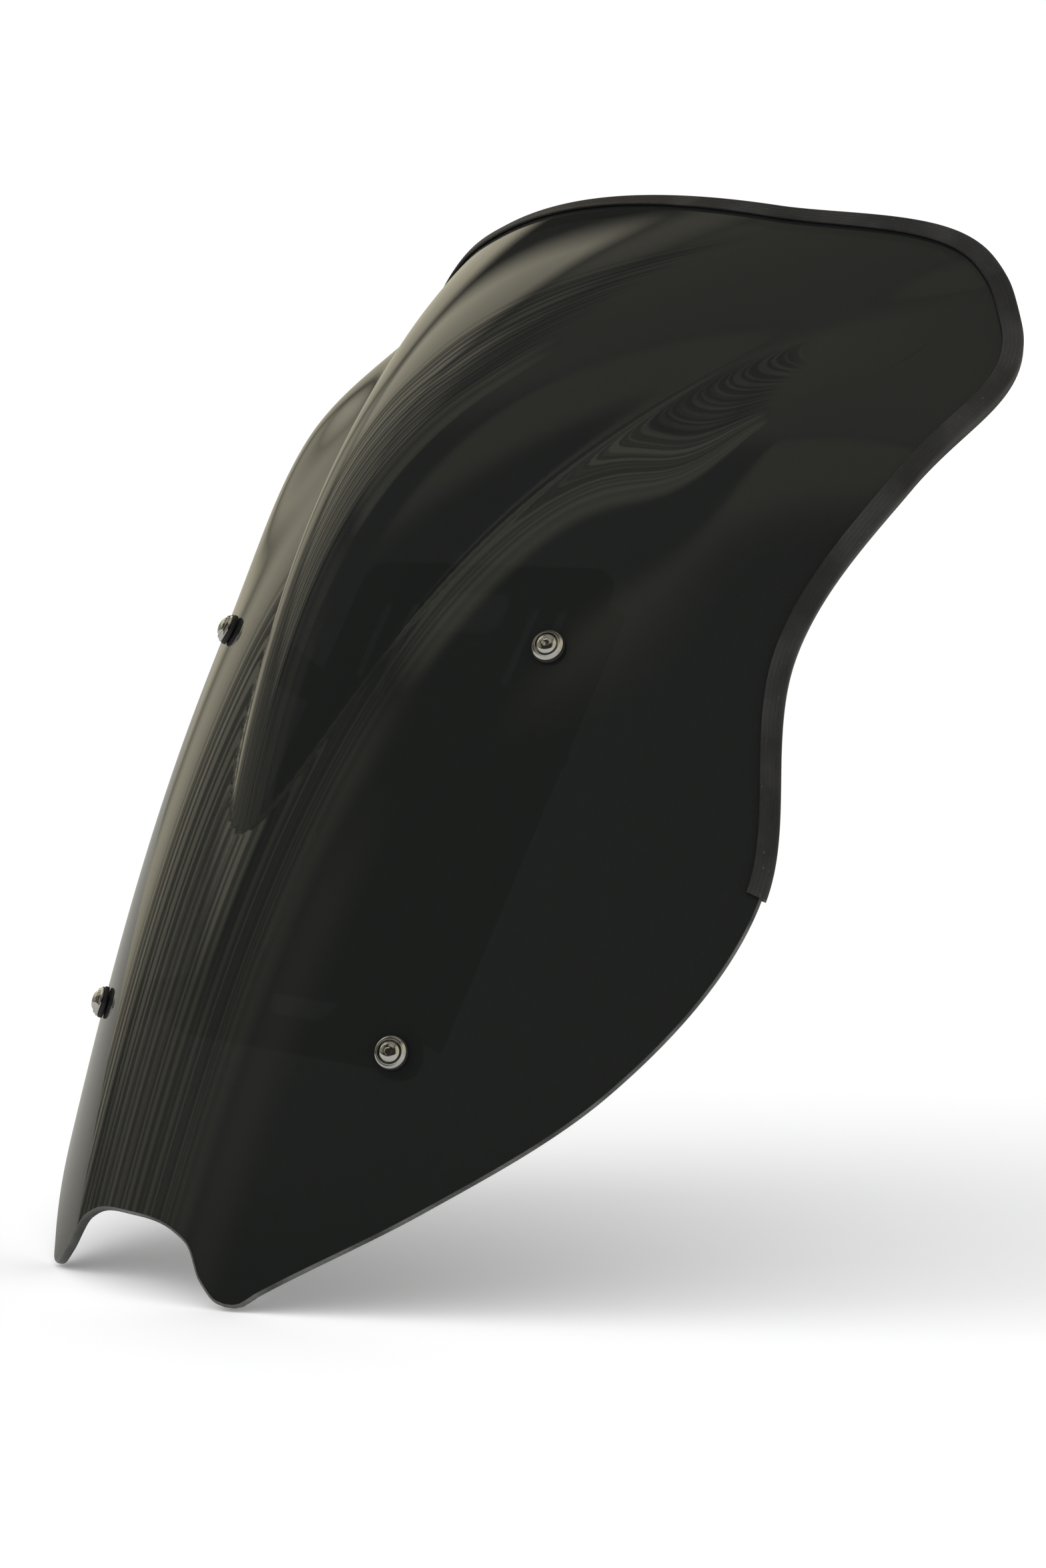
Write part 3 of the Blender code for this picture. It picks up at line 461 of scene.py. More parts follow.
def thread_profile(radius, low, high):
    """Zigzag of thread crests and roots down from high to low."""
    turns = int((high - low) / THREAD_PITCH)
    step = (high - low) / turns
    points = []
    for i in range(turns):
        points.append((radius, high - i * step, "round", 0.0))
        points.append((radius - THREAD_DEPTH, high - (i + 0.5) * step, "round", 0.0))
    points.append((radius, low, "round", 0.0))
    return points


# =====================================================================================
# Node materials
# =====================================================================================

def add(tree, kind, inputs=None, **settings):
    """A node with its settings; each input is a value or another node's output."""
    made = tree.nodes.new(kind)
    for key, value in settings.items():
        setattr(made, key, value)
    for key, value in (inputs or {}).items():
        if isinstance(value, bpy.types.NodeSocket):
            tree.links.new(value, made.inputs[key])
        else:
            made.inputs[key].default_value = value
    return made


def calc(tree, operation, a, b=0.0):
    return add(tree, "ShaderNodeMath", {0: a, 1: b}, operation=operation).outputs[0]


def remap(tree, value, low, high, to_low=0.0, to_high=1.0):
    inputs = {"Value": value, "From Min": low, "From Max": high,
              "To Min": to_low, "To Max": to_high}
    return add(tree, "ShaderNodeMapRange", inputs, interpolation_type="SMOOTHSTEP").outputs[0]


def mix(tree, factor, a, b):
    inputs = {0: factor, 6: (*a, 1.0) if isinstance(a, tuple) else a,
              7: (*b, 1.0) if isinstance(b, tuple) else b}
    return add(tree, "ShaderNodeMix", inputs, data_type="RGBA").outputs[2]


def noise(tree, coords, scale, detail=3.0, rough=0.5):
    inputs = {"Vector": coords, "Scale": scale, "Detail": detail, "Roughness": rough}
    return add(tree, "ShaderNodeTexNoise", inputs).outputs[0]


def stretched(tree, coords, scale):
    return add(tree, "ShaderNodeMapping", {"Vector": coords, "Scale": scale}).outputs[0]


def bump(tree, height, distance, strength=1.0, under=None):
    inputs = {"Height": height, "Distance": distance, "Strength": strength}
    if under is not None:
        inputs["Normal"] = under
    return add(tree, "ShaderNodeBump", inputs).outputs[0]


def worn_edge(tree, radius, low=0.02, high=0.2):
    """How far the surface turns within a small radius: high on edges and corners."""
    soft = add(tree, "ShaderNodeBevel", {"Radius": radius}, samples=6).outputs[0]
    hard = add(tree, "ShaderNodeNewGeometry").outputs["Normal"]
    product = add(tree, "ShaderNodeVectorMath", {0: soft, 1: hard}, operation="DOT_PRODUCT")
    turn = calc(tree, "SUBTRACT", 1.0, product.outputs["Value"])
    return remap(tree, turn, low, high)


def new_finish(name):
    """A node material: its tree, its object coordinates in metres and its shader."""
    material = bpy.data.materials.new(name)
    material.use_nodes = True
    tree = material.node_tree
    coords = add(tree, "ShaderNodeTexCoord").outputs["Object"]
    return material, tree, coords, tree.nodes["Principled BSDF"]


def wire(tree, shader, inputs):
    for key, value in inputs.items():
        if isinstance(value, bpy.types.NodeSocket):
            tree.links.new(value, shader.inputs[key])
        else:
            shader.inputs[key].default_value = value


SHEET_ALPHA = 0.95
ACRYLIC_IOR = 1.49


def smoke_acrylic():
    """Deep grey-black cast acrylic: glossy, slightly wavy, with faint dust and hairlines."""
    material, tree, coords, shader = new_finish("smoke_acrylic")
    wave = noise(tree, coords, 9.0, 1.0)
    smear = remap(tree, noise(tree, coords, 14.0, 5.0, 0.6), 0.45, 0.75)
    dust = remap(tree, noise(tree, coords, 1400.0, 2.0), 0.70, 0.78)
    hair = noise(tree, stretched(tree, coords, (900.0, 900.0, 9.0)), 1.0, 2.0)
    hair = remap(tree, hair, 0.68, 0.74)
    marks = calc(tree, "MAXIMUM", dust, calc(tree, "MULTIPLY", hair, 0.35))
    roughness = calc(tree, "ADD", remap(tree, smear, 0.0, 1.0, 0.012, 0.035),
                     calc(tree, "MULTIPLY", marks, 0.12))
    colour = mix(tree, calc(tree, "MULTIPLY", marks, 0.10), (0.0105, 0.0116, 0.0108),
                 (0.16, 0.16, 0.15))
    normal = bump(tree, wave, 0.25 * MM, 0.6)
    wire(tree, shader, {"Base Color": colour, "Roughness": roughness, "Normal": normal,
                        "IOR": ACRYLIC_IOR, "Alpha": SHEET_ALPHA})
    return material


def polished_edge_painted_highlight():
    """The sheet's cut edge: flame-polished, with a painted highlight: its colour is paler than the
    sheet's, standing in for the pale line of light the edge catches.
    """
    material, tree, coords, shader = new_finish("acrylic_edge_painted_highlight")
    saw = noise(tree, stretched(tree, coords, (160.0, 160.0, 700.0)), 1.0, 2.0)
    cloud = noise(tree, coords, 45.0, 3.0)
    # Painted highlight: both ends of this mix are far paler than the sheet's colour and stand in for
    # caught light; the cloud only varies the tone at random.
    colour = mix(tree, remap(tree, cloud, 0.3, 0.7), (0.035, 0.037, 0.036), (0.11, 0.115, 0.11))
    wire(tree, shader, {"Base Color": colour, "IOR": ACRYLIC_IOR,
                        "Roughness": remap(tree, saw, 0.3, 0.7, 0.16, 0.34),
                        "Normal": bump(tree, saw, 0.03 * MM)})
    return material


def trim_rubber():
    """Extruded rubber: matt black with fine draw lines, a grey bloom and dust specks."""
    material, tree, coords, shader = new_finish("trim_rubber")
    bloom = remap(tree, noise(tree, coords, 35.0, 4.0), 0.35, 0.75)
    grain = noise(tree, coords, 1500.0, 3.0, 0.6)
    specks = remap(tree, noise(tree, coords, 700.0, 1.0), 0.72, 0.80)
    colour = mix(tree, bloom, (0.012, 0.012, 0.012), (0.030, 0.030, 0.029))
    colour = mix(tree, calc(tree, "MULTIPLY", specks, 0.25), colour, (0.22, 0.21, 0.19))
    colour = mix(tree, calc(tree, "MULTIPLY", worn_edge(tree, 0.5 * MM), 0.35), colour,
                 (0.075, 0.075, 0.074))
    wire(tree, shader, {"Base Color": colour,
                        "Roughness": remap(tree, grain, 0.3, 0.7, 0.42, 0.62),
                        "Normal": bump(tree, grain, 0.035 * MM)})
    return material


def metal(name, colour, dark, roughness, grain_scale, wear):
    """Metal turned about its own axis: tool rings, cloudy tarnish and brighter edges."""
    material, tree, coords, shader = new_finish(name)
    rings = add(tree, "ShaderNodeTexWave", {"Vector": coords, "Scale": grain_scale,
                                            "Distortion": 1.5, "Detail": 2.0},
                wave_type="RINGS", rings_direction="Z").outputs["Fac"]
    cloud = noise(tree, coords, 260.0, 4.0)
    spots = remap(tree, noise(tree, coords, 1300.0, 2.0), 0.66, 0.76)
    base = mix(tree, remap(tree, cloud, 0.35, 0.75), colour, dark)
    base = mix(tree, calc(tree, "MULTIPLY", spots, wear), base, tuple(0.45 * c for c in dark))
    base = mix(tree, calc(tree, "MULTIPLY", worn_edge(tree, 0.25 * MM), 0.4), base,
               tuple(min(1.0, 1.15 * c) for c in colour))
    rough = calc(tree, "ADD", remap(tree, cloud, 0.3, 0.7, roughness, 1.6 * roughness),
                 calc(tree, "MULTIPLY", spots, 0.15))
    height = calc(tree, "ADD", calc(tree, "MULTIPLY", rings, 0.35), cloud)
    wire(tree, shader, {"Base Color": base, "Metallic": 1.0, "Roughness": rough,
                        "Normal": bump(tree, height, 0.008 * MM)})
    return material


def plastic(name, colour, roughness, grain, grain_depth, scuff):
    """Moulded plastic: pebble grain, mottled gloss, dust in the grain and scuffed edges."""
    material, tree, coords, shader = new_finish(name)
    pebble = add(tree, "ShaderNodeTexVoronoi", {"Vector": coords, "Scale": grain},
                 feature="SMOOTH_F1").outputs["Distance"]
    cloud = noise(tree, coords, 40.0, 5.0, 0.6)
    dust = remap(tree, noise(tree, coords, 900.0, 2.0), 0.68, 0.78)
    paler = tuple(1.9 * c + 0.004 for c in colour)
    base = mix(tree, remap(tree, cloud, 0.35, 0.7), colour, paler)
    base = mix(tree, calc(tree, "MULTIPLY", dust, 0.18), base, (0.25, 0.24, 0.22))
    edge = calc(tree, "MULTIPLY", worn_edge(tree, 0.6 * MM), scuff)
    base = mix(tree, edge, base, tuple(3.0 * c + 0.03 for c in colour))
    wire(tree, shader, {"Base Color": base,
                        "Roughness": remap(tree, cloud, 0.3, 0.7, roughness, roughness + 0.14),
                        "Normal": bump(tree, pebble, grain_depth)})
    return material


def powder_coat():
    """Black powder coat on steel: orange peel, cloudy gloss, dust and edges rubbed thin."""
    material, tree, coords, shader = new_finish("powder_coat")
    peel = noise(tree, coords, 650.0, 2.0)
    cloud = noise(tree, coords, 28.0, 4.0)
    dust = remap(tree, noise(tree, coords, 1100.0, 2.0), 0.66, 0.78)
    base = mix(tree, remap(tree, cloud, 0.35, 0.7), (0.016, 0.016, 0.017), (0.034, 0.034, 0.036))
    base = mix(tree, calc(tree, "MULTIPLY", dust, 0.15), base, (0.28, 0.27, 0.25))
    chips = remap(tree, noise(tree, coords, 220.0, 3.0), 0.52, 0.60)
    edge = calc(tree, "MULTIPLY", worn_edge(tree, 0.5 * MM, 0.04, 0.25), chips)
    base = mix(tree, calc(tree, "MULTIPLY", edge, 0.6), base, (0.19, 0.18, 0.17))
    wire(tree, shader, {"Base Color": base,
                        "Roughness": remap(tree, cloud, 0.3, 0.7, 0.34, 0.50),
                        "Normal": bump(tree, peel, 0.03 * MM)})
    return material


acrylic = smoke_acrylic()
acrylic_edge_painted_highlight = polished_edge_painted_highlight()
rubber = trim_rubber()
spring_steel = metal("spring_steel", (0.56, 0.56, 0.57), (0.40, 0.40, 0.41), 0.24, 900.0, 0.4)
stainless = metal("polished_stainless", (0.80, 0.80, 0.79), (0.66, 0.66, 0.66), 0.07, 1500.0, 0.15)
zinc = metal("zinc_plate", (0.60, 0.62, 0.65), (0.44, 0.46, 0.49), 0.26, 1100.0, 0.35)
brass = metal("brass", (0.78, 0.57, 0.27), (0.55, 0.38, 0.17), 0.22, 1000.0, 0.4)
nylon = plastic("black_nylon", (0.010, 0.010, 0.011), 0.40, 1500.0, 0.02 * MM, 0.4)
moulding = plastic("black_moulding", (0.014, 0.014, 0.015), 0.46, 900.0, 0.06 * MM, 0.5)
nut_rubber = plastic("well_nut_rubber", (0.012, 0.012, 0.012), 0.55, 1800.0, 0.02 * MM, 0.25)
coated_steel = powder_coat()


# =====================================================================================
# Acrylic sheet
# =====================================================================================

def fixing_matrix(level, side_name):
    """A fixing's frame from its washer's place: Z along the sheet's normal, 0 on its face."""
    centre = node_centre(f"seal_washer_{level}_{side_name}")
    u, v = centre.x, centre.y
    for _ in range(4):
        normal = sheet_normal(u, v)
        u = centre.x - normal.x * (GAP + SEAL_T / 2.0)
        v = centre.y - normal.y * (GAP + SEAL_T / 2.0)
    across = Vector((0.0, 1.0, 0.0)).cross(normal).normalized()
    matrix = Matrix((across, normal.cross(across), normal)).transposed().to_4x4()
    matrix.translation = sheet_point(u, v)
    return matrix


fixings = {(level, side_name): fixing_matrix(level, side_name)
           for level in LEVELS for side_name, _ in SIDES}


def sheet_grid():
    """The front face as rows of (u, v), right edge to left: a blend of its boundary curves."""
    inner = [inset_point(p, d, EDGE_RADIUS) for p, d in outline_rows]
    bottom = inner[:ACROSS_CELLS + 1]
    side = inner[ACROSS_CELLS:ACROSS_CELLS + SIDE_CELLS + 1]
    top = inner[:ACROSS_CELLS + SIDE_CELLS - 1:-1]
    grid = []
    for j in range(SIDE_CELLS + 1):
        t = j / SIDE_CELLS
        centre = bottom[0].lerp(top[0], t)
        row = []
        for i in range(ACROSS_CELLS + 1):
            s = i / ACROSS_CELLS
            blend = bottom[i] * (1 - t) + top[i] * t + centre * (1 - s) + side[j] * s
            low = bottom[0] * (1 - s) + bottom[-1] * s
            high = top[0] * (1 - s) + top[-1] * s
            row.append(blend - low * (1 - t) - high * t)
        grid.append([Vector((-p.x, p.y)) for p in reversed(row[1:])] + row)
    return grid


def skin(bm, grid, depth, normals):
    """One face of the sheet, as rows of vertices at a depth below the front."""
    layer = []
    for row in grid:
        verts = []
        for p in row:
            normal = sheet_normal(*p)
            vert = bm.verts.new(sheet_point(*p) - normal * depth)
            normals[vert] = normal if depth == 0.0 else -normal
            verts.append(vert)
        layer.append(verts)
    for low, high in zip(layer, layer[1:]):
        for i in range(len(low) - 1):
            corners = (low[i], low[i + 1], high[i + 1], high[i])
            bm.faces.new(corners if depth == 0.0 else corners[::-1])
    return layer


def border(layer):
    """The vertices round a skin's edge, in order."""
    return (layer[0][:-1] + [row[-1] for row in layer[:-1]]
            + layer[-1][:0:-1] + [row[0] for row in layer[:0:-1]])


def round_edge(bm, front, back, normals):
    """The sheet's rounded edge, from the front face's border to the back face's."""
    upper, lower = border(front), border(back)
    count = len(upper)
    quarter = [0.5 * math.pi * k / EDGE_STEPS for k in range(1, EDGE_STEPS + 1)]
    turns = [(upper, angle) for angle in quarter] + [(lower, angle) for angle in reversed(quarter)]
    rings = [upper]
    for source, angle in turns:
        ring = []
        for i, vert in enumerate(source):
            face = normals[vert]
            along = upper[(i + 1) % count].co - upper[i - 1].co
            outward = along.cross(normals[upper[i]]).normalized()
            place = vert.co + (outward * math.sin(angle) - face * (1.0 - math.cos(angle))) * EDGE_RADIUS
            made = bm.verts.new(place)
            normals[made] = (outward * math.sin(angle) + face * math.cos(angle)).normalized()
            ring.append(made)
        rings.append(ring)
    rings.append(lower)
    for a, b in zip(rings, rings[1:]):
        for i in range(count):
            k = (i + 1) % count
            bm.faces.new((a[i], b[i], b[k], a[k])).material_index = 1


def open_hole(bm, layer, place, depth, normals):
    """Clear one skin round a fixing and sew it to the hole's rim, which is returned."""
    inverse = place.inverted()
    near = [vert for row in layer for vert in row if vert.is_valid
            and (inverse @ vert.co).to_2d().length < HOLE_OPENING
            and abs((inverse @ vert.co).z) < HOLE_OPENING]
    faces = {face for vert in near for face in vert.link_faces}
    seam = [edge for face in faces for edge in face.edges
            if any(other not in faces for other in edge.link_faces)]
    for vert in near:
        del normals[vert]
    face_normal = place.to_3x3() @ Vector((0.0, 0.0, 1.0))
    rim = []
    for k in range(HOLE_SEGMENTS):
        angle = 2.0 * math.pi * k / HOLE_SEGMENTS
        reach = Vector((SHEET_HOLE_R * math.cos(angle), SHEET_HOLE_R * math.sin(angle), 0.0))
        point = place @ reach
        vert = bm.verts.new(sheet_point(point.x, point.y) - face_normal * depth)
        normals[vert] = face_normal if depth == 0.0 else -face_normal
        rim.append(vert)
    ring = [bm.edges.new((rim[k], rim[(k + 1) % HOLE_SEGMENTS])) for k in range(HOLE_SEGMENTS)]
    bmesh.ops.delete(bm, geom=near, context="VERTS")
    bmesh.ops.bridge_loops(bm, edges=list(dict.fromkeys(seam)) + ring)
    return rim


def build_panel():
    """The sheet: front and back skins, rounded edge and four fixing holes."""
    bm = bmesh.new()
    normals = {}
    grid = sheet_grid()
    front = skin(bm, grid, 0.0, normals)
    back = skin(bm, grid, SHEET_THICKNESS, normals)
    round_edge(bm, front, back, normals)
    for place in fixings.values():
        upper = open_hole(bm, front, place, 0.0, normals)
        lower = open_hole(bm, back, place, SHEET_THICKNESS, normals)
        for k in range(HOLE_SEGMENTS):
            m = (k + 1) % HOLE_SEGMENTS
            bm.faces.new((upper[k], lower[k], lower[m], upper[m])).material_index = 1
    bm.verts.index_update()
    shading = [slope.to_3x3() @ normals[vert] for vert in bm.verts]
    mesh = mesh_from("screen_panel_finish", bm)
    panel = add_piece("screen_panel_finish", mesh, "screen", acrylic, ("screen_panel",))
    mesh.materials.append(acrylic_edge_painted_highlight)
    mesh.normals_split_custom_set_from_vertices(shading)
    return panel


# =====================================================================================
# Edge trim
# =====================================================================================

def trim_stations():
    """Along the trim: direction out of the edge, and surface samples going inwards."""
    first = ACROSS_CELLS + LOWER_SIDE_CELLS
    half = []
    for point, direction in outline_rows[first:]:
        samples = []
        for depth in TRIM_SAMPLES:
            place = inset_point(point, direction, depth)
            samples.append((sheet_point(*place), sheet_normal(*place)))
        outward = (samples[0][0] - samples[1][0]).normalized()
        half.append((outward, samples))

    def mirrored(station):
        def flip(v):
            return Vector((-v.x, v.y, v.z))
        return flip(station[0]), [(flip(p), flip(n)) for p, n in station[1]]

    return half + [mirrored(station) for station in reversed(half[:-1])]


def section_point(station, depth, height):
    """A section's (depth, height) carried onto a station."""
    outward, samples = station
    if depth <= 0.0:
        point, normal = samples[0]
        return point - outward * depth + normal * height
    for k in range(len(TRIM_SAMPLES) - 1):
        low, high = TRIM_SAMPLES[k], TRIM_SAMPLES[k + 1]
        if depth <= high or k == len(TRIM_SAMPLES) - 2:
            t = (depth - low) / (high - low)
            point = samples[k][0].lerp(samples[k + 1][0], t)
            normal = samples[k][1].lerp(samples[k + 1][1], t).normalized()
            return point + normal * height


def u_section(half_wall, tip_depth):
    """Closed outline of a plain U-shaped wall whose middle line is the trim's."""
    middle = TRIM_GAP + TRIM_WALL / 2.0
    back = -SHEET_THICKNESS
    loop = []
    for reach, sense in ((middle + half_wall, 1), (middle - half_wall, -1)):
        turn = 0.45 * reach + half_wall
        side = [(tip_depth, reach), (turn - reach, reach), (-reach, reach - turn),
                (-reach, back - reach + turn), (turn - reach, back - reach),
                (tip_depth, back - reach)]
        loop += side[::sense]
    return loop


def trim_outline():
    """Closed outline of the rubber: grooved legs, rounded back and rounded lips."""
    outer = TRIM_GAP + TRIM_WALL
    back = -SHEET_THICKNESS
    front = [(TRIM_DEPTH, TRIM_GAP + 0.5 * TRIM_WALL), (TRIM_DEPTH, outer - TRIM_TIP),
             (TRIM_DEPTH - 0.3 * TRIM_TIP, outer - 0.3 * TRIM_TIP), (TRIM_DEPTH - TRIM_TIP, outer)]
    for place in GROOVE_PLACES:
        for shift, drop in ((0.5, 0.0), (0.2, 1.0), (-0.2, 1.0), (-0.5, 0.0)):
            front.append((place + shift * GROOVE_WIDTH, outer - drop * GROOVE_DEPTH))
    steps = 5
    for k in range(steps + 1):
        angle = 0.5 * math.pi * k / steps
        front.append((TRIM_CORNER * (1.0 - math.sin(angle)) - outer,
                      outer - TRIM_CORNER * (1.0 - math.cos(angle))))
    rear = [(d, back - h) for d, h in reversed(front)]
    inside = [(TRIM_DEPTH - TRIM_TIP, back - TRIM_GAP), (0.0, back - TRIM_GAP),
              (-TRIM_GAP, back), (-TRIM_GAP, 0.0), (0.0, TRIM_GAP),
              (TRIM_DEPTH - TRIM_TIP, TRIM_GAP)]
    return front + rear + inside


def sweep(bm, stations, section):
    """A tube of a closed section along the stations; its two end rings are returned."""
    rings = [[bm.verts.new(section_point(station, d, h)) for d, h in section]
             for station in stations]
    count = len(section)
    for a, b in zip(rings, rings[1:]):
        for i in range(count):
            k = (i + 1) % count
            bm.faces.new((a[i], a[k], b[k], b[i]))
    return rings[0], rings[-1]


def ring_edges(bm, ring):
    return [bm.edges.get((ring[i - 1], ring[i])) for i in range(len(ring))]


def build_trim():
    """The rubber trim with its hollow wall, and the steel core inside it."""
    stations = trim_stations()
    bm = bmesh.new()
    wall = sweep(bm, stations, trim_outline())
    cavity = sweep(bm, stations, u_section(TRIM_CAVITY / 2.0, TRIM_DEPTH - TRIM_LIP))
    for outer, inner in zip(wall, cavity):
        bmesh.ops.triangle_fill(bm, edges=ring_edges(bm, outer) + ring_edges(bm, inner),
                                use_beauty=True)
    trim = add_piece("edge_trim_finish", mesh_from("edge_trim_finish", bm), "screen", rubber,
                     ("edge_trim",))
    trim.data.set_sharp_from_angle(angle=TRIM_CREASE)

    bm = bmesh.new()
    core = sweep(bm, stations, u_section(CORE_WALL / 2.0, TRIM_DEPTH - TRIM_LIP - CORE_SETBACK))
    for ring in core:
        bmesh.ops.triangle_fill(bm, edges=ring_edges(bm, ring), use_beauty=True)
    core = add_piece("edge_trim_core_finish", mesh_from("edge_trim_core_finish", bm), "screen",
                     spring_steel, ("edge_trim_core",))
    core.data.set_sharp_from_angle(angle=TRIM_CREASE)


# =====================================================================================
# Fixings and slide hardware
# =====================================================================================

def ring_section(inner, outer, low, high, rounding=0.25 * MM):
    """Profile of a plain ring with rounded edges."""
    return [(outer, high, "round", rounding), (outer, low, "round", rounding),
            (inner, low, "round", rounding), (inner, high, "round", rounding)]


def build_fixing(level, side_name):
    """One stack, from the front: screw, cup washer, seal washer, sheet, well nut, insert."""
    label = f"{level}_{side_name}"
    place = fixings[level, side_name]

    def piece(kind, profile, closed, finish, segments=72):
        turned_piece(f"{kind}_{label}_finish", profile, closed, "screen", finish,
                     f"{kind}_{label}", place, segments)

    seal_high = GAP + SEAL_T
    piece("seal_washer", ring_section(SHEET_HOLE_R, SEAL_R, GAP, seal_high, 0.6 * MM), True, nylon)

    base = seal_high + GAP
    waist = (0.5 * (CUP_TOP_R + CUP_R) - 0.15 * MM, base + 0.45 * (CUP_TOP_H + CUP_RIM_H))
    cup = [(CUP_TOP_R, base + CUP_TOP_H, "round", 0.2 * MM), (*waist, "round", 0.6 * MM),
           (CUP_R, base + CUP_RIM_H, "round", 0.15 * MM), (CUP_R, base, "round", 0.1 * MM),
           (BORE_R, base, "round", 0.1 * MM), (BORE_R, base + CUP_SEAT_H, "round", 0.1 * MM),
           (CUP_SEAT_R, base + CUP_SEAT_H, "round", 0.15 * MM),
           (CUP_SEAT_R, base + CUP_TOP_H, "round", 0.15 * MM)]
    piece("cup_washer", cup, True, stainless, 96)

    seat = base + CUP_SEAT_H + GAP
    top = seat + SCREW_HEAD_H
    tip = seat - SCREW_LENGTH
    floor = top - SCREW_KEY_DEPTH
    screw = [(0.0, floor, "round", 0.0), (SCREW_KEY_R, floor + 0.3 * MM, "hex", 0.0),
             (SCREW_KEY_R, top - KEY_CHAMFER_H, "hex", 0.0),
             (SCREW_KEY_R + KEY_CHAMFER_R, top, "hex", 0.0),
             (SCREW_CROWN_R, top, "round", 0.0),
             (0.8 * SCREW_HEAD_R, top - 0.6 * MM, "round", 1.0 * MM),
             (SCREW_HEAD_R, seat + 0.8 * MM, "round", 0.6 * MM),
             (SCREW_HEAD_R, seat, "round", 0.15 * MM), (SCREW_R, seat, "round", 0.0)]
    screw += thread_profile(SCREW_R, tip + 0.4 * MM, seat - SCREW_SHANK)
    screw += [(SCREW_R - 0.5 * MM, tip, "round", 0.0), (0.0, tip, "round", 0.0)]
    piece("screw", screw, False, stainless, 96)

    flange_top = -SHEET_THICKNESS - CURVE_GAP
    flange_low = flange_top - NUT_FLANGE_T
    nut_end = flange_top - NUT_LENGTH
    pocket = nut_end + INSERT_LENGTH + 2.0 * GAP
    nut = [(NUT_FLANGE_R, flange_top, "round", 0.5 * MM),
           (NUT_FLANGE_R, flange_low, "round", 0.4 * MM),
           (NUT_BODY_R, flange_low, "round", 0.3 * MM), (NUT_BODY_R, nut_end, "round", 0.8 * MM),
           (INSERT_R + GAP, nut_end, "round", 0.1 * MM), (INSERT_R + GAP, pocket, "round", 0.0),
           (BORE_R, pocket, "round", 0.0), (BORE_R, flange_top, "round", 0.2 * MM)]
    piece("well_nut", nut, True, nut_rubber)

    low = nut_end + GAP
    insert = ring_section(BORE_R, INSERT_R, low, low + INSERT_LENGTH)
    piece("well_nut_insert", insert, True, brass)


def nut_section(low, high):
    """A hexagon nut: chamfered corners and a bore with countersunk mouths."""
    mouth = BOLT_HOLE_R + NUT_MOUTH
    face = 0.86 * HEX_R
    return [(mouth, high, "round", 0.0), (face, high, "round", 0.0),
            (HEX_R, high - NUT_CHAMFER, "hex", 0.0), (HEX_R, low + NUT_CHAMFER, "hex", 0.0),
            (face, low, "round", 0.0), (mouth, low, "round", 0.0),
            (BOLT_HOLE_R, low + NUT_MOUTH, "round", 0.0),
            (BOLT_HOLE_R, high - NUT_MOUTH, "round", 0.0)]


def at_axis(node):
    """A frame on a CAD node's own axis, square to the slope, with heights counted from w = 0."""
    centre = node_centre(node)
    return Matrix.Translation((centre.x, centre.y, 0.0))


def build_clamp(side_name):
    """Stud, washer and lobed knob of one clamp."""
    body = f"clamp_{side_name}"
    place = at_axis(f"clamp_washer_{side_name}")
    washer_high = STAY_REAR_W - GAP
    washer_low = washer_high - WASHER_T
    turned_piece(f"clamp_washer_{side_name}_finish",
                 ring_section(BOLT_HOLE_R, WASHER_R, washer_low, washer_high), True, "screen",
                 zinc, f"clamp_washer_{side_name}", place, 96)

    neck_top = washer_low - GAP
    end = neck_top - KNOB_INSERT_LENGTH
    seat = RAIL_FRONT_W + GAP
    stud = [(0.0, seat + STUD_HEAD_H, "round", 0.0),
            (0.68 * STUD_HEAD_R, seat + 0.88 * STUD_HEAD_H, "round", 1.6 * MM),
            (STUD_HEAD_R, seat + 0.4 * STUD_HEAD_H, "round", 0.5 * MM),
            (STUD_HEAD_R, seat, "round", 0.2 * MM), (BOLT_R, seat, "round", 0.0)]
    stud += thread_profile(BOLT_R, end, neck_top)
    stud.append((0.0, end, "round", 0.0))
    turned_piece(f"clamp_stud_{side_name}_finish", stud, False, "screen", zinc,
                 f"clamp_stud_{side_name}", place)

    grip_top = neck_top - KNOB_NECK_T
    grip_low = grip_top - KNOB_GRIP_T
    groove = KNOB_CAP_R + KNOB_GROOVE_WIDTH
    knob = [(0.0, end - GAP, "round", 0.0), (KNOB_SOCKET_R, end - GAP, "round", 0.0),
            (KNOB_SOCKET_R, neck_top, "round", 0.3 * MM),
            (KNOB_NECK_R, neck_top, "round", 0.7 * MM), (KNOB_NECK_R, grip_top, "round", 0.8 * MM),
            (KNOB_R, grip_top, "lobed", 2.2 * MM), (KNOB_R, grip_low, "lobed", 2.6 * MM),
            (groove, grip_low, "round", 0.4 * MM),
            (groove, grip_low + KNOB_GROOVE_DEPTH, "round", 0.2 * MM),
            (KNOB_CAP_R, grip_low + KNOB_GROOVE_DEPTH, "round", 0.2 * MM),
            (KNOB_CAP_R, grip_low + 0.2 * MM, "round", 0.6 * MM), (0.0, grip_low, "round", 0.0)]
    turned_piece(f"clamp_knob_{side_name}_finish", knob, False, body, moulding,
                 f"clamp_knob_{side_name}", place, 144)
    insert = ring_section(BOLT_HOLE_R, KNOB_INSERT_R, end, neck_top - GAP)
    turned_piece(f"clamp_knob_insert_{side_name}_finish", insert, True, body, brass,
                 f"clamp_knob_insert_{side_name}", place)


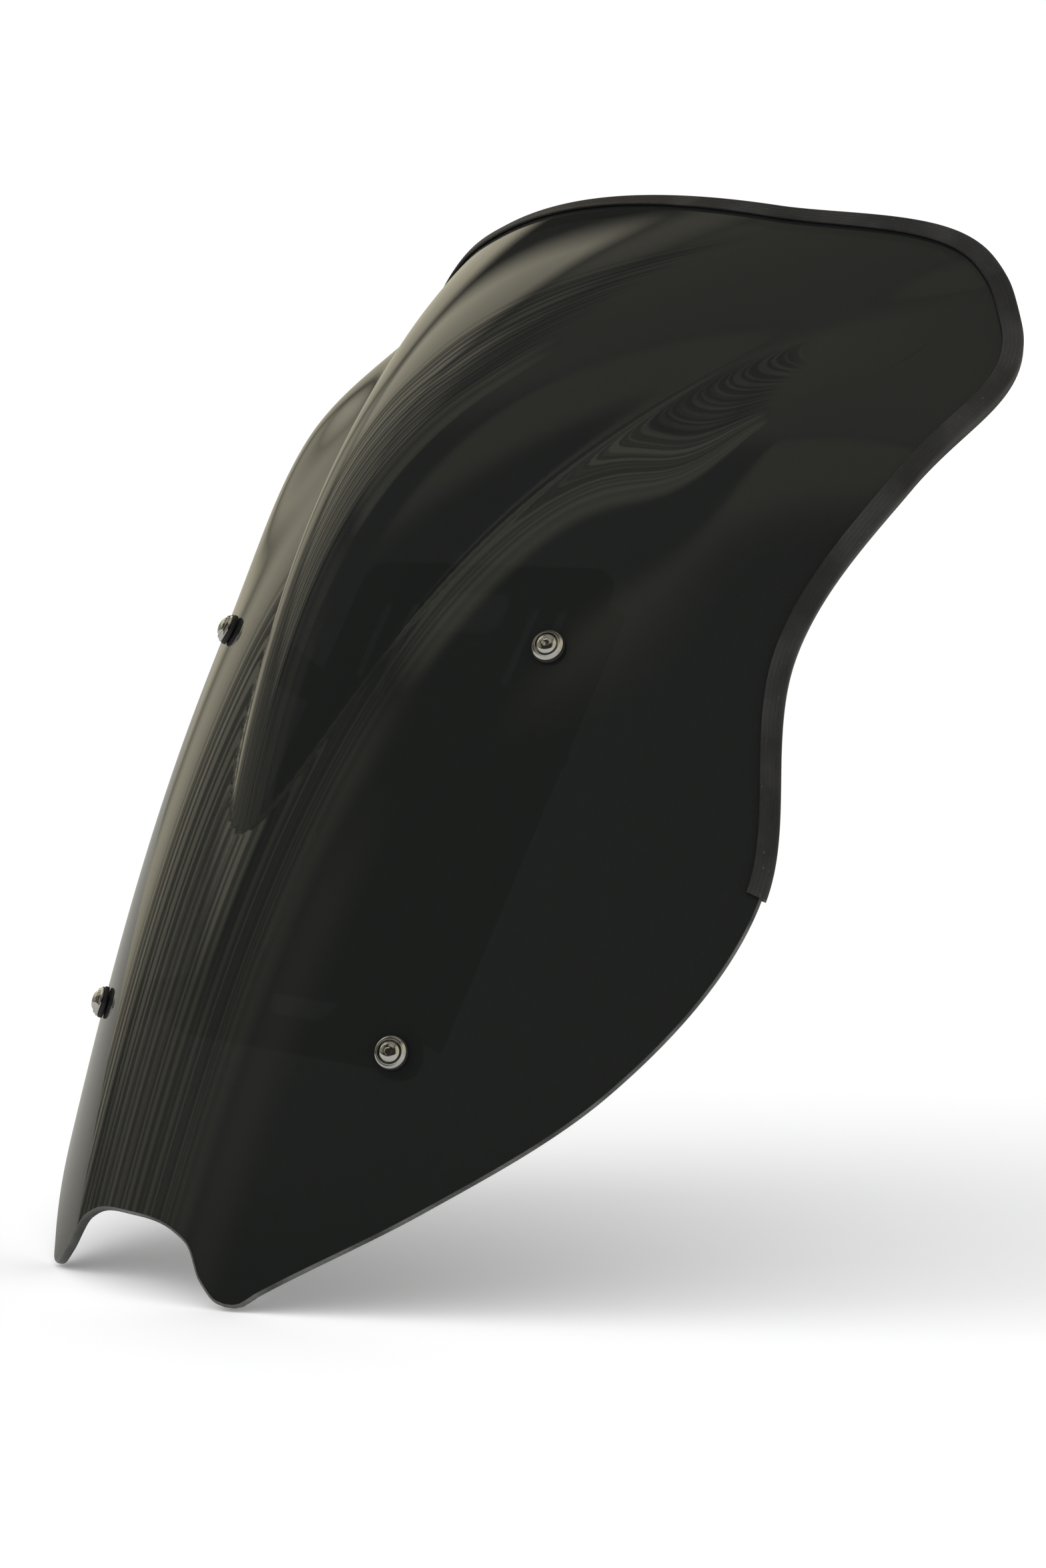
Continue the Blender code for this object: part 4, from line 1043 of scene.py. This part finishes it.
def build_guide(side_name):
    """Screw, washer and nut of one lower slide point."""
    place = at_axis(f"guide_washer_{side_name}")
    washer_high = STAY_REAR_W - GAP
    washer_low = washer_high - WASHER_T
    turned_piece(f"guide_washer_{side_name}_finish",
                 ring_section(BOLT_HOLE_R, WASHER_R, washer_low, washer_high), True, "screen",
                 zinc, f"guide_washer_{side_name}", place, 96)

    seat = washer_low - GAP
    nut_low = RAIL_FRONT_W + GAP
    tip = nut_low + HEX_NUT_T + GUIDE_TIP
    head_end = seat - GUIDE_HEAD_H
    screw = [(0.0, tip, "round", 0.0), (BOLT_R - 0.6 * MM, tip, "round", 0.0)]
    screw += thread_profile(BOLT_R, nut_low, tip - 0.3 * MM)
    screw += [(BOLT_R, seat, "round", 0.0), (GUIDE_HEAD_R, seat, "round", 0.2 * MM),
              (GUIDE_HEAD_R, seat - 1.2 * MM, "round", 0.8 * MM),
              (0.75 * GUIDE_HEAD_R, head_end + 0.5 * MM, "round", 1.0 * MM),
              (0.6 * GUIDE_HEAD_R, head_end, "round", 0.0),
              (GUIDE_KEY_R + KEY_CHAMFER_R, head_end, "hex", 0.0),
              (GUIDE_KEY_R, head_end + KEY_CHAMFER_H, "hex", 0.0),
              (GUIDE_KEY_R, head_end + GUIDE_KEY_DEPTH - 0.3 * MM, "hex", 0.0),
              (0.0, head_end + GUIDE_KEY_DEPTH, "round", 0.0)]
    turned_piece(f"guide_screw_{side_name}_finish", screw, False, "screen", zinc,
                 f"guide_screw_{side_name}", place)
    turned_piece(f"guide_nut_{side_name}_finish", nut_section(nut_low, nut_low + HEX_NUT_T), True,
                 "screen", zinc, f"guide_nut_{side_name}", place)


def restyle(node, finish, rounding):
    """A carried-over CAD node: its finish and a small radius along its edges."""
    obj = frame["nodes"][node]
    if not obj.material_slots:
        obj.data.materials.append(finish)
    for slot in obj.material_slots:
        slot.link = "OBJECT"
        slot.material = finish
    bevel = obj.modifiers.new("edge_radius", "BEVEL")
    bevel.width = rounding
    bevel.segments = 3
    bevel.limit_method = "ANGLE"
    bevel.angle_limit = BEVEL_ANGLE
    bevel.harden_normals = True


build_panel()
build_trim()
for fixing_level, fixing_side in fixings:
    build_fixing(fixing_level, fixing_side)
for clamp_side, _ in SIDES:
    build_clamp(clamp_side)
    build_guide(clamp_side)
    for nut_level in LEVELS:
        weld_nut = f"weld_nut_{nut_level}_{clamp_side}"
        nut_low = STAY_FRONT_W + GAP
        turned_piece(f"{weld_nut}_finish", nut_section(nut_low, nut_low + HEX_NUT_T), True, "stay",
                     zinc, weld_nut, at_axis(weld_nut))
        restyle(f"slide_shoe_{nut_level}_{clamp_side}", nylon, SHOE_EDGE)
restyle("carrier", moulding, CARRIER_EDGE)
restyle("stay_plate", coated_steel, PLATE_EDGE)


# =====================================================================================
# Floor, light and camera
# =====================================================================================

# Soft boxes and dark walls seen only in reflections: azimuth range from the front (-Y) towards
# the rider's left (+X), elevation range, edge softness in degrees, and brightness.
REFLECTED_BOXES = (
    (-140, -113, -25, 18, 4, 0.55),
    (-113, -52, 19, 48, 5, 1.20),
    (-88, -44, 44, 58, 6, 0.85),
    (-112, -90, -6, 20, 5, 0.62),
    (-112, -30, 4, 22, 5, 0.42),
    (-112, -30, -20, 4, 6, 0.26),
    (-48, -22, 8, 42, 6, 0.30),
    (-52, -24, 44, 70, 4, 0.58),
    (-22, -8, 5, 34, 6, 0.17),
    (-135, -55, 50, 64, 6, 0.32),
    (-180, 180, 62, 95, 6, 0.22),
    (6, 60, 43, 66, 6, 0.30),
    (75, 180, -10, 55, 12, 0.45),
    (-180, -150, -10, 55, 12, 0.45),
)
# Dark slats across part of them: the same kind of box, with the slats' depth for brightness.
STREAK_BOX = (-100, -28, -20, 70, 4, 0.70)
STREAK_WIDTH = 2.4
REFLECTED_BASE = 0.02
REFLECTED_TINT = (1.0, 0.93, 0.71)
STUDIO_WHITE = 1.06


def in_box(tree, azimuth, elevation, box):
    """Brightness of a soft-edged box at a direction."""
    left, right, bottom, top, soft, brightness = box
    inside = brightness
    for value, low, high in ((azimuth, left, right), (elevation, bottom, top)):
        inside = calc(tree, "MULTIPLY", inside, remap(tree, value, low - soft, low + soft))
        inside = calc(tree, "MULTIPLY", inside,
                      remap(tree, value, high - soft, high + soft, 1.0, 0.0))
    return inside


def build_world():
    """White all round for the camera and soft light; boxes and dark walls in reflections."""
    world = bpy.data.worlds.new("studio")
    bpy.context.scene.world = world
    world.use_nodes = True
    tree = world.node_tree
    direction = add(tree, "ShaderNodeTexCoord").outputs["Generated"]
    parts = add(tree, "ShaderNodeSeparateXYZ", {0: direction})
    forward = calc(tree, "MULTIPLY", parts.outputs["Y"], -1.0)
    azimuth = calc(tree, "DEGREES", calc(tree, "ARCTAN2", parts.outputs["X"], forward))
    elevation = calc(tree, "DEGREES", calc(tree, "ARCSINE", parts.outputs["Z"]))
    level = REFLECTED_BASE
    for box in REFLECTED_BOXES:
        level = calc(tree, "MAXIMUM", level, in_box(tree, azimuth, elevation, box))

    along = calc(tree, "MULTIPLY", azimuth, 1.0 / STREAK_WIDTH)
    slats = add(tree, "ShaderNodeTexNoise", {"W": along, "Scale": 1.0, "Detail": 1.5},
                noise_dimensions="1D").outputs[0]
    shade = calc(tree, "MULTIPLY", in_box(tree, azimuth, elevation, STREAK_BOX),
                 remap(tree, slats, 0.62, 0.42))
    level = calc(tree, "MULTIPLY", level, calc(tree, "SUBTRACT", 1.0, shade))

    tint = mix(tree, level, (0.0, 0.0, 0.0), REFLECTED_TINT)
    reflected = add(tree, "ShaderNodeBackground", {"Color": tint})
    white = tree.nodes["Background"]
    white.inputs["Color"].default_value = (1.0, 1.0, 1.0, 1.0)
    white.inputs["Strength"].default_value = STUDIO_WHITE
    glossy = add(tree, "ShaderNodeLightPath").outputs["Is Glossy Ray"]
    both = add(tree, "ShaderNodeMixShader",
               {0: glossy, 1: white.outputs[0], 2: reflected.outputs[0]})
    tree.links.new(both.outputs[0], tree.nodes["World Output"].inputs["Surface"])


FLOOR_SIZE = 60.0
FLOOR_DROP = 2.0 * MM
# Painted reflection: the floor's colour for glossy rays only, a darker grey than the paper.
FLOOR_PAINTED_REFLECTION = (0.42, 0.41, 0.37)


def build_floor():
    """Pale paper a little below the part, with a painted reflection: darker grey where the sheet
    mirrors it.
    """
    low, _ = cad_box
    bpy.ops.mesh.primitive_plane_add(size=FLOOR_SIZE, location=(0.0, 0.0, low[2] - FLOOR_DROP))
    floor = bpy.context.object
    floor.name = "floor"
    material, tree, coords, shader = new_finish("floor_paper")
    cloud = noise(tree, coords, 0.8, 3.0)
    fibre = noise(tree, coords, 300.0, 3.0)
    pale = mix(tree, cloud, (0.945, 0.945, 0.945), (0.96, 0.96, 0.96))
    # Painted reflection: glossy rays see the darker grey, while the camera and diffuse light see the
    # pale paper.
    mirrored = add(tree, "ShaderNodeLightPath").outputs["Is Glossy Ray"]
    wire(tree, shader, {"Base Color": mix(tree, mirrored, pale, FLOOR_PAINTED_REFLECTION),
                        "Roughness": 0.9, "Specular IOR Level": 0.0,
                        "Normal": bump(tree, fibre, 0.002 * MM)})
    floor.data.materials.append(material)


KEY_PLACE = (-1.3, -1.7, 1.9)
KEY_SIZE = 1.6
KEY_POWER = 14.0


def build_key_light():
    """A wide soft light from the front right, kept out of reflections."""
    data = bpy.data.lights.new("key", "AREA")
    data.size = KEY_SIZE
    data.energy = KEY_POWER
    light = bpy.data.objects.new("key", data)
    bpy.context.scene.collection.objects.link(light)
    light.location = KEY_PLACE
    light.rotation_euler = Vector(KEY_PLACE).to_track_quat("Z", "Y").to_euler()
    light.visible_glossy = False


CAMERA_AZIMUTH = math.radians(49.154)
CAMERA_ELEVATION = math.radians(4.631)
CAMERA_DISTANCE = 1.80130
CAMERA_SHIFT = (0.10079, -0.04005)
CAMERA_LENS = 93.169
CAMERA_SENSOR = 36.0


def build_camera():
    """The camera looks along a bearing from the front left, past the slope frame's origin."""
    data = bpy.data.cameras.new("camera")
    data.lens = CAMERA_LENS
    data.sensor_width = CAMERA_SENSOR
    data.sensor_fit = "AUTO"
    camera = bpy.data.objects.new("camera", data)
    bpy.context.scene.collection.objects.link(camera)
    flat = math.cos(CAMERA_ELEVATION)
    back = Vector((math.sin(CAMERA_AZIMUTH) * flat, -math.cos(CAMERA_AZIMUTH) * flat,
                   math.sin(CAMERA_ELEVATION)))
    right = Vector((math.cos(CAMERA_AZIMUTH), math.sin(CAMERA_AZIMUTH), 0.0))
    up = back.cross(right)
    matrix = Matrix((right, up, back)).transposed().to_4x4()
    matrix.translation = (slope.translation + back * CAMERA_DISTANCE
                          + right * CAMERA_SHIFT[0] + up * CAMERA_SHIFT[1])
    camera.matrix_world = matrix
    bpy.context.scene.camera = camera


build_floor()
build_world()
build_key_light()
build_camera()
bpy.context.scene.view_settings.view_transform = "Standard"
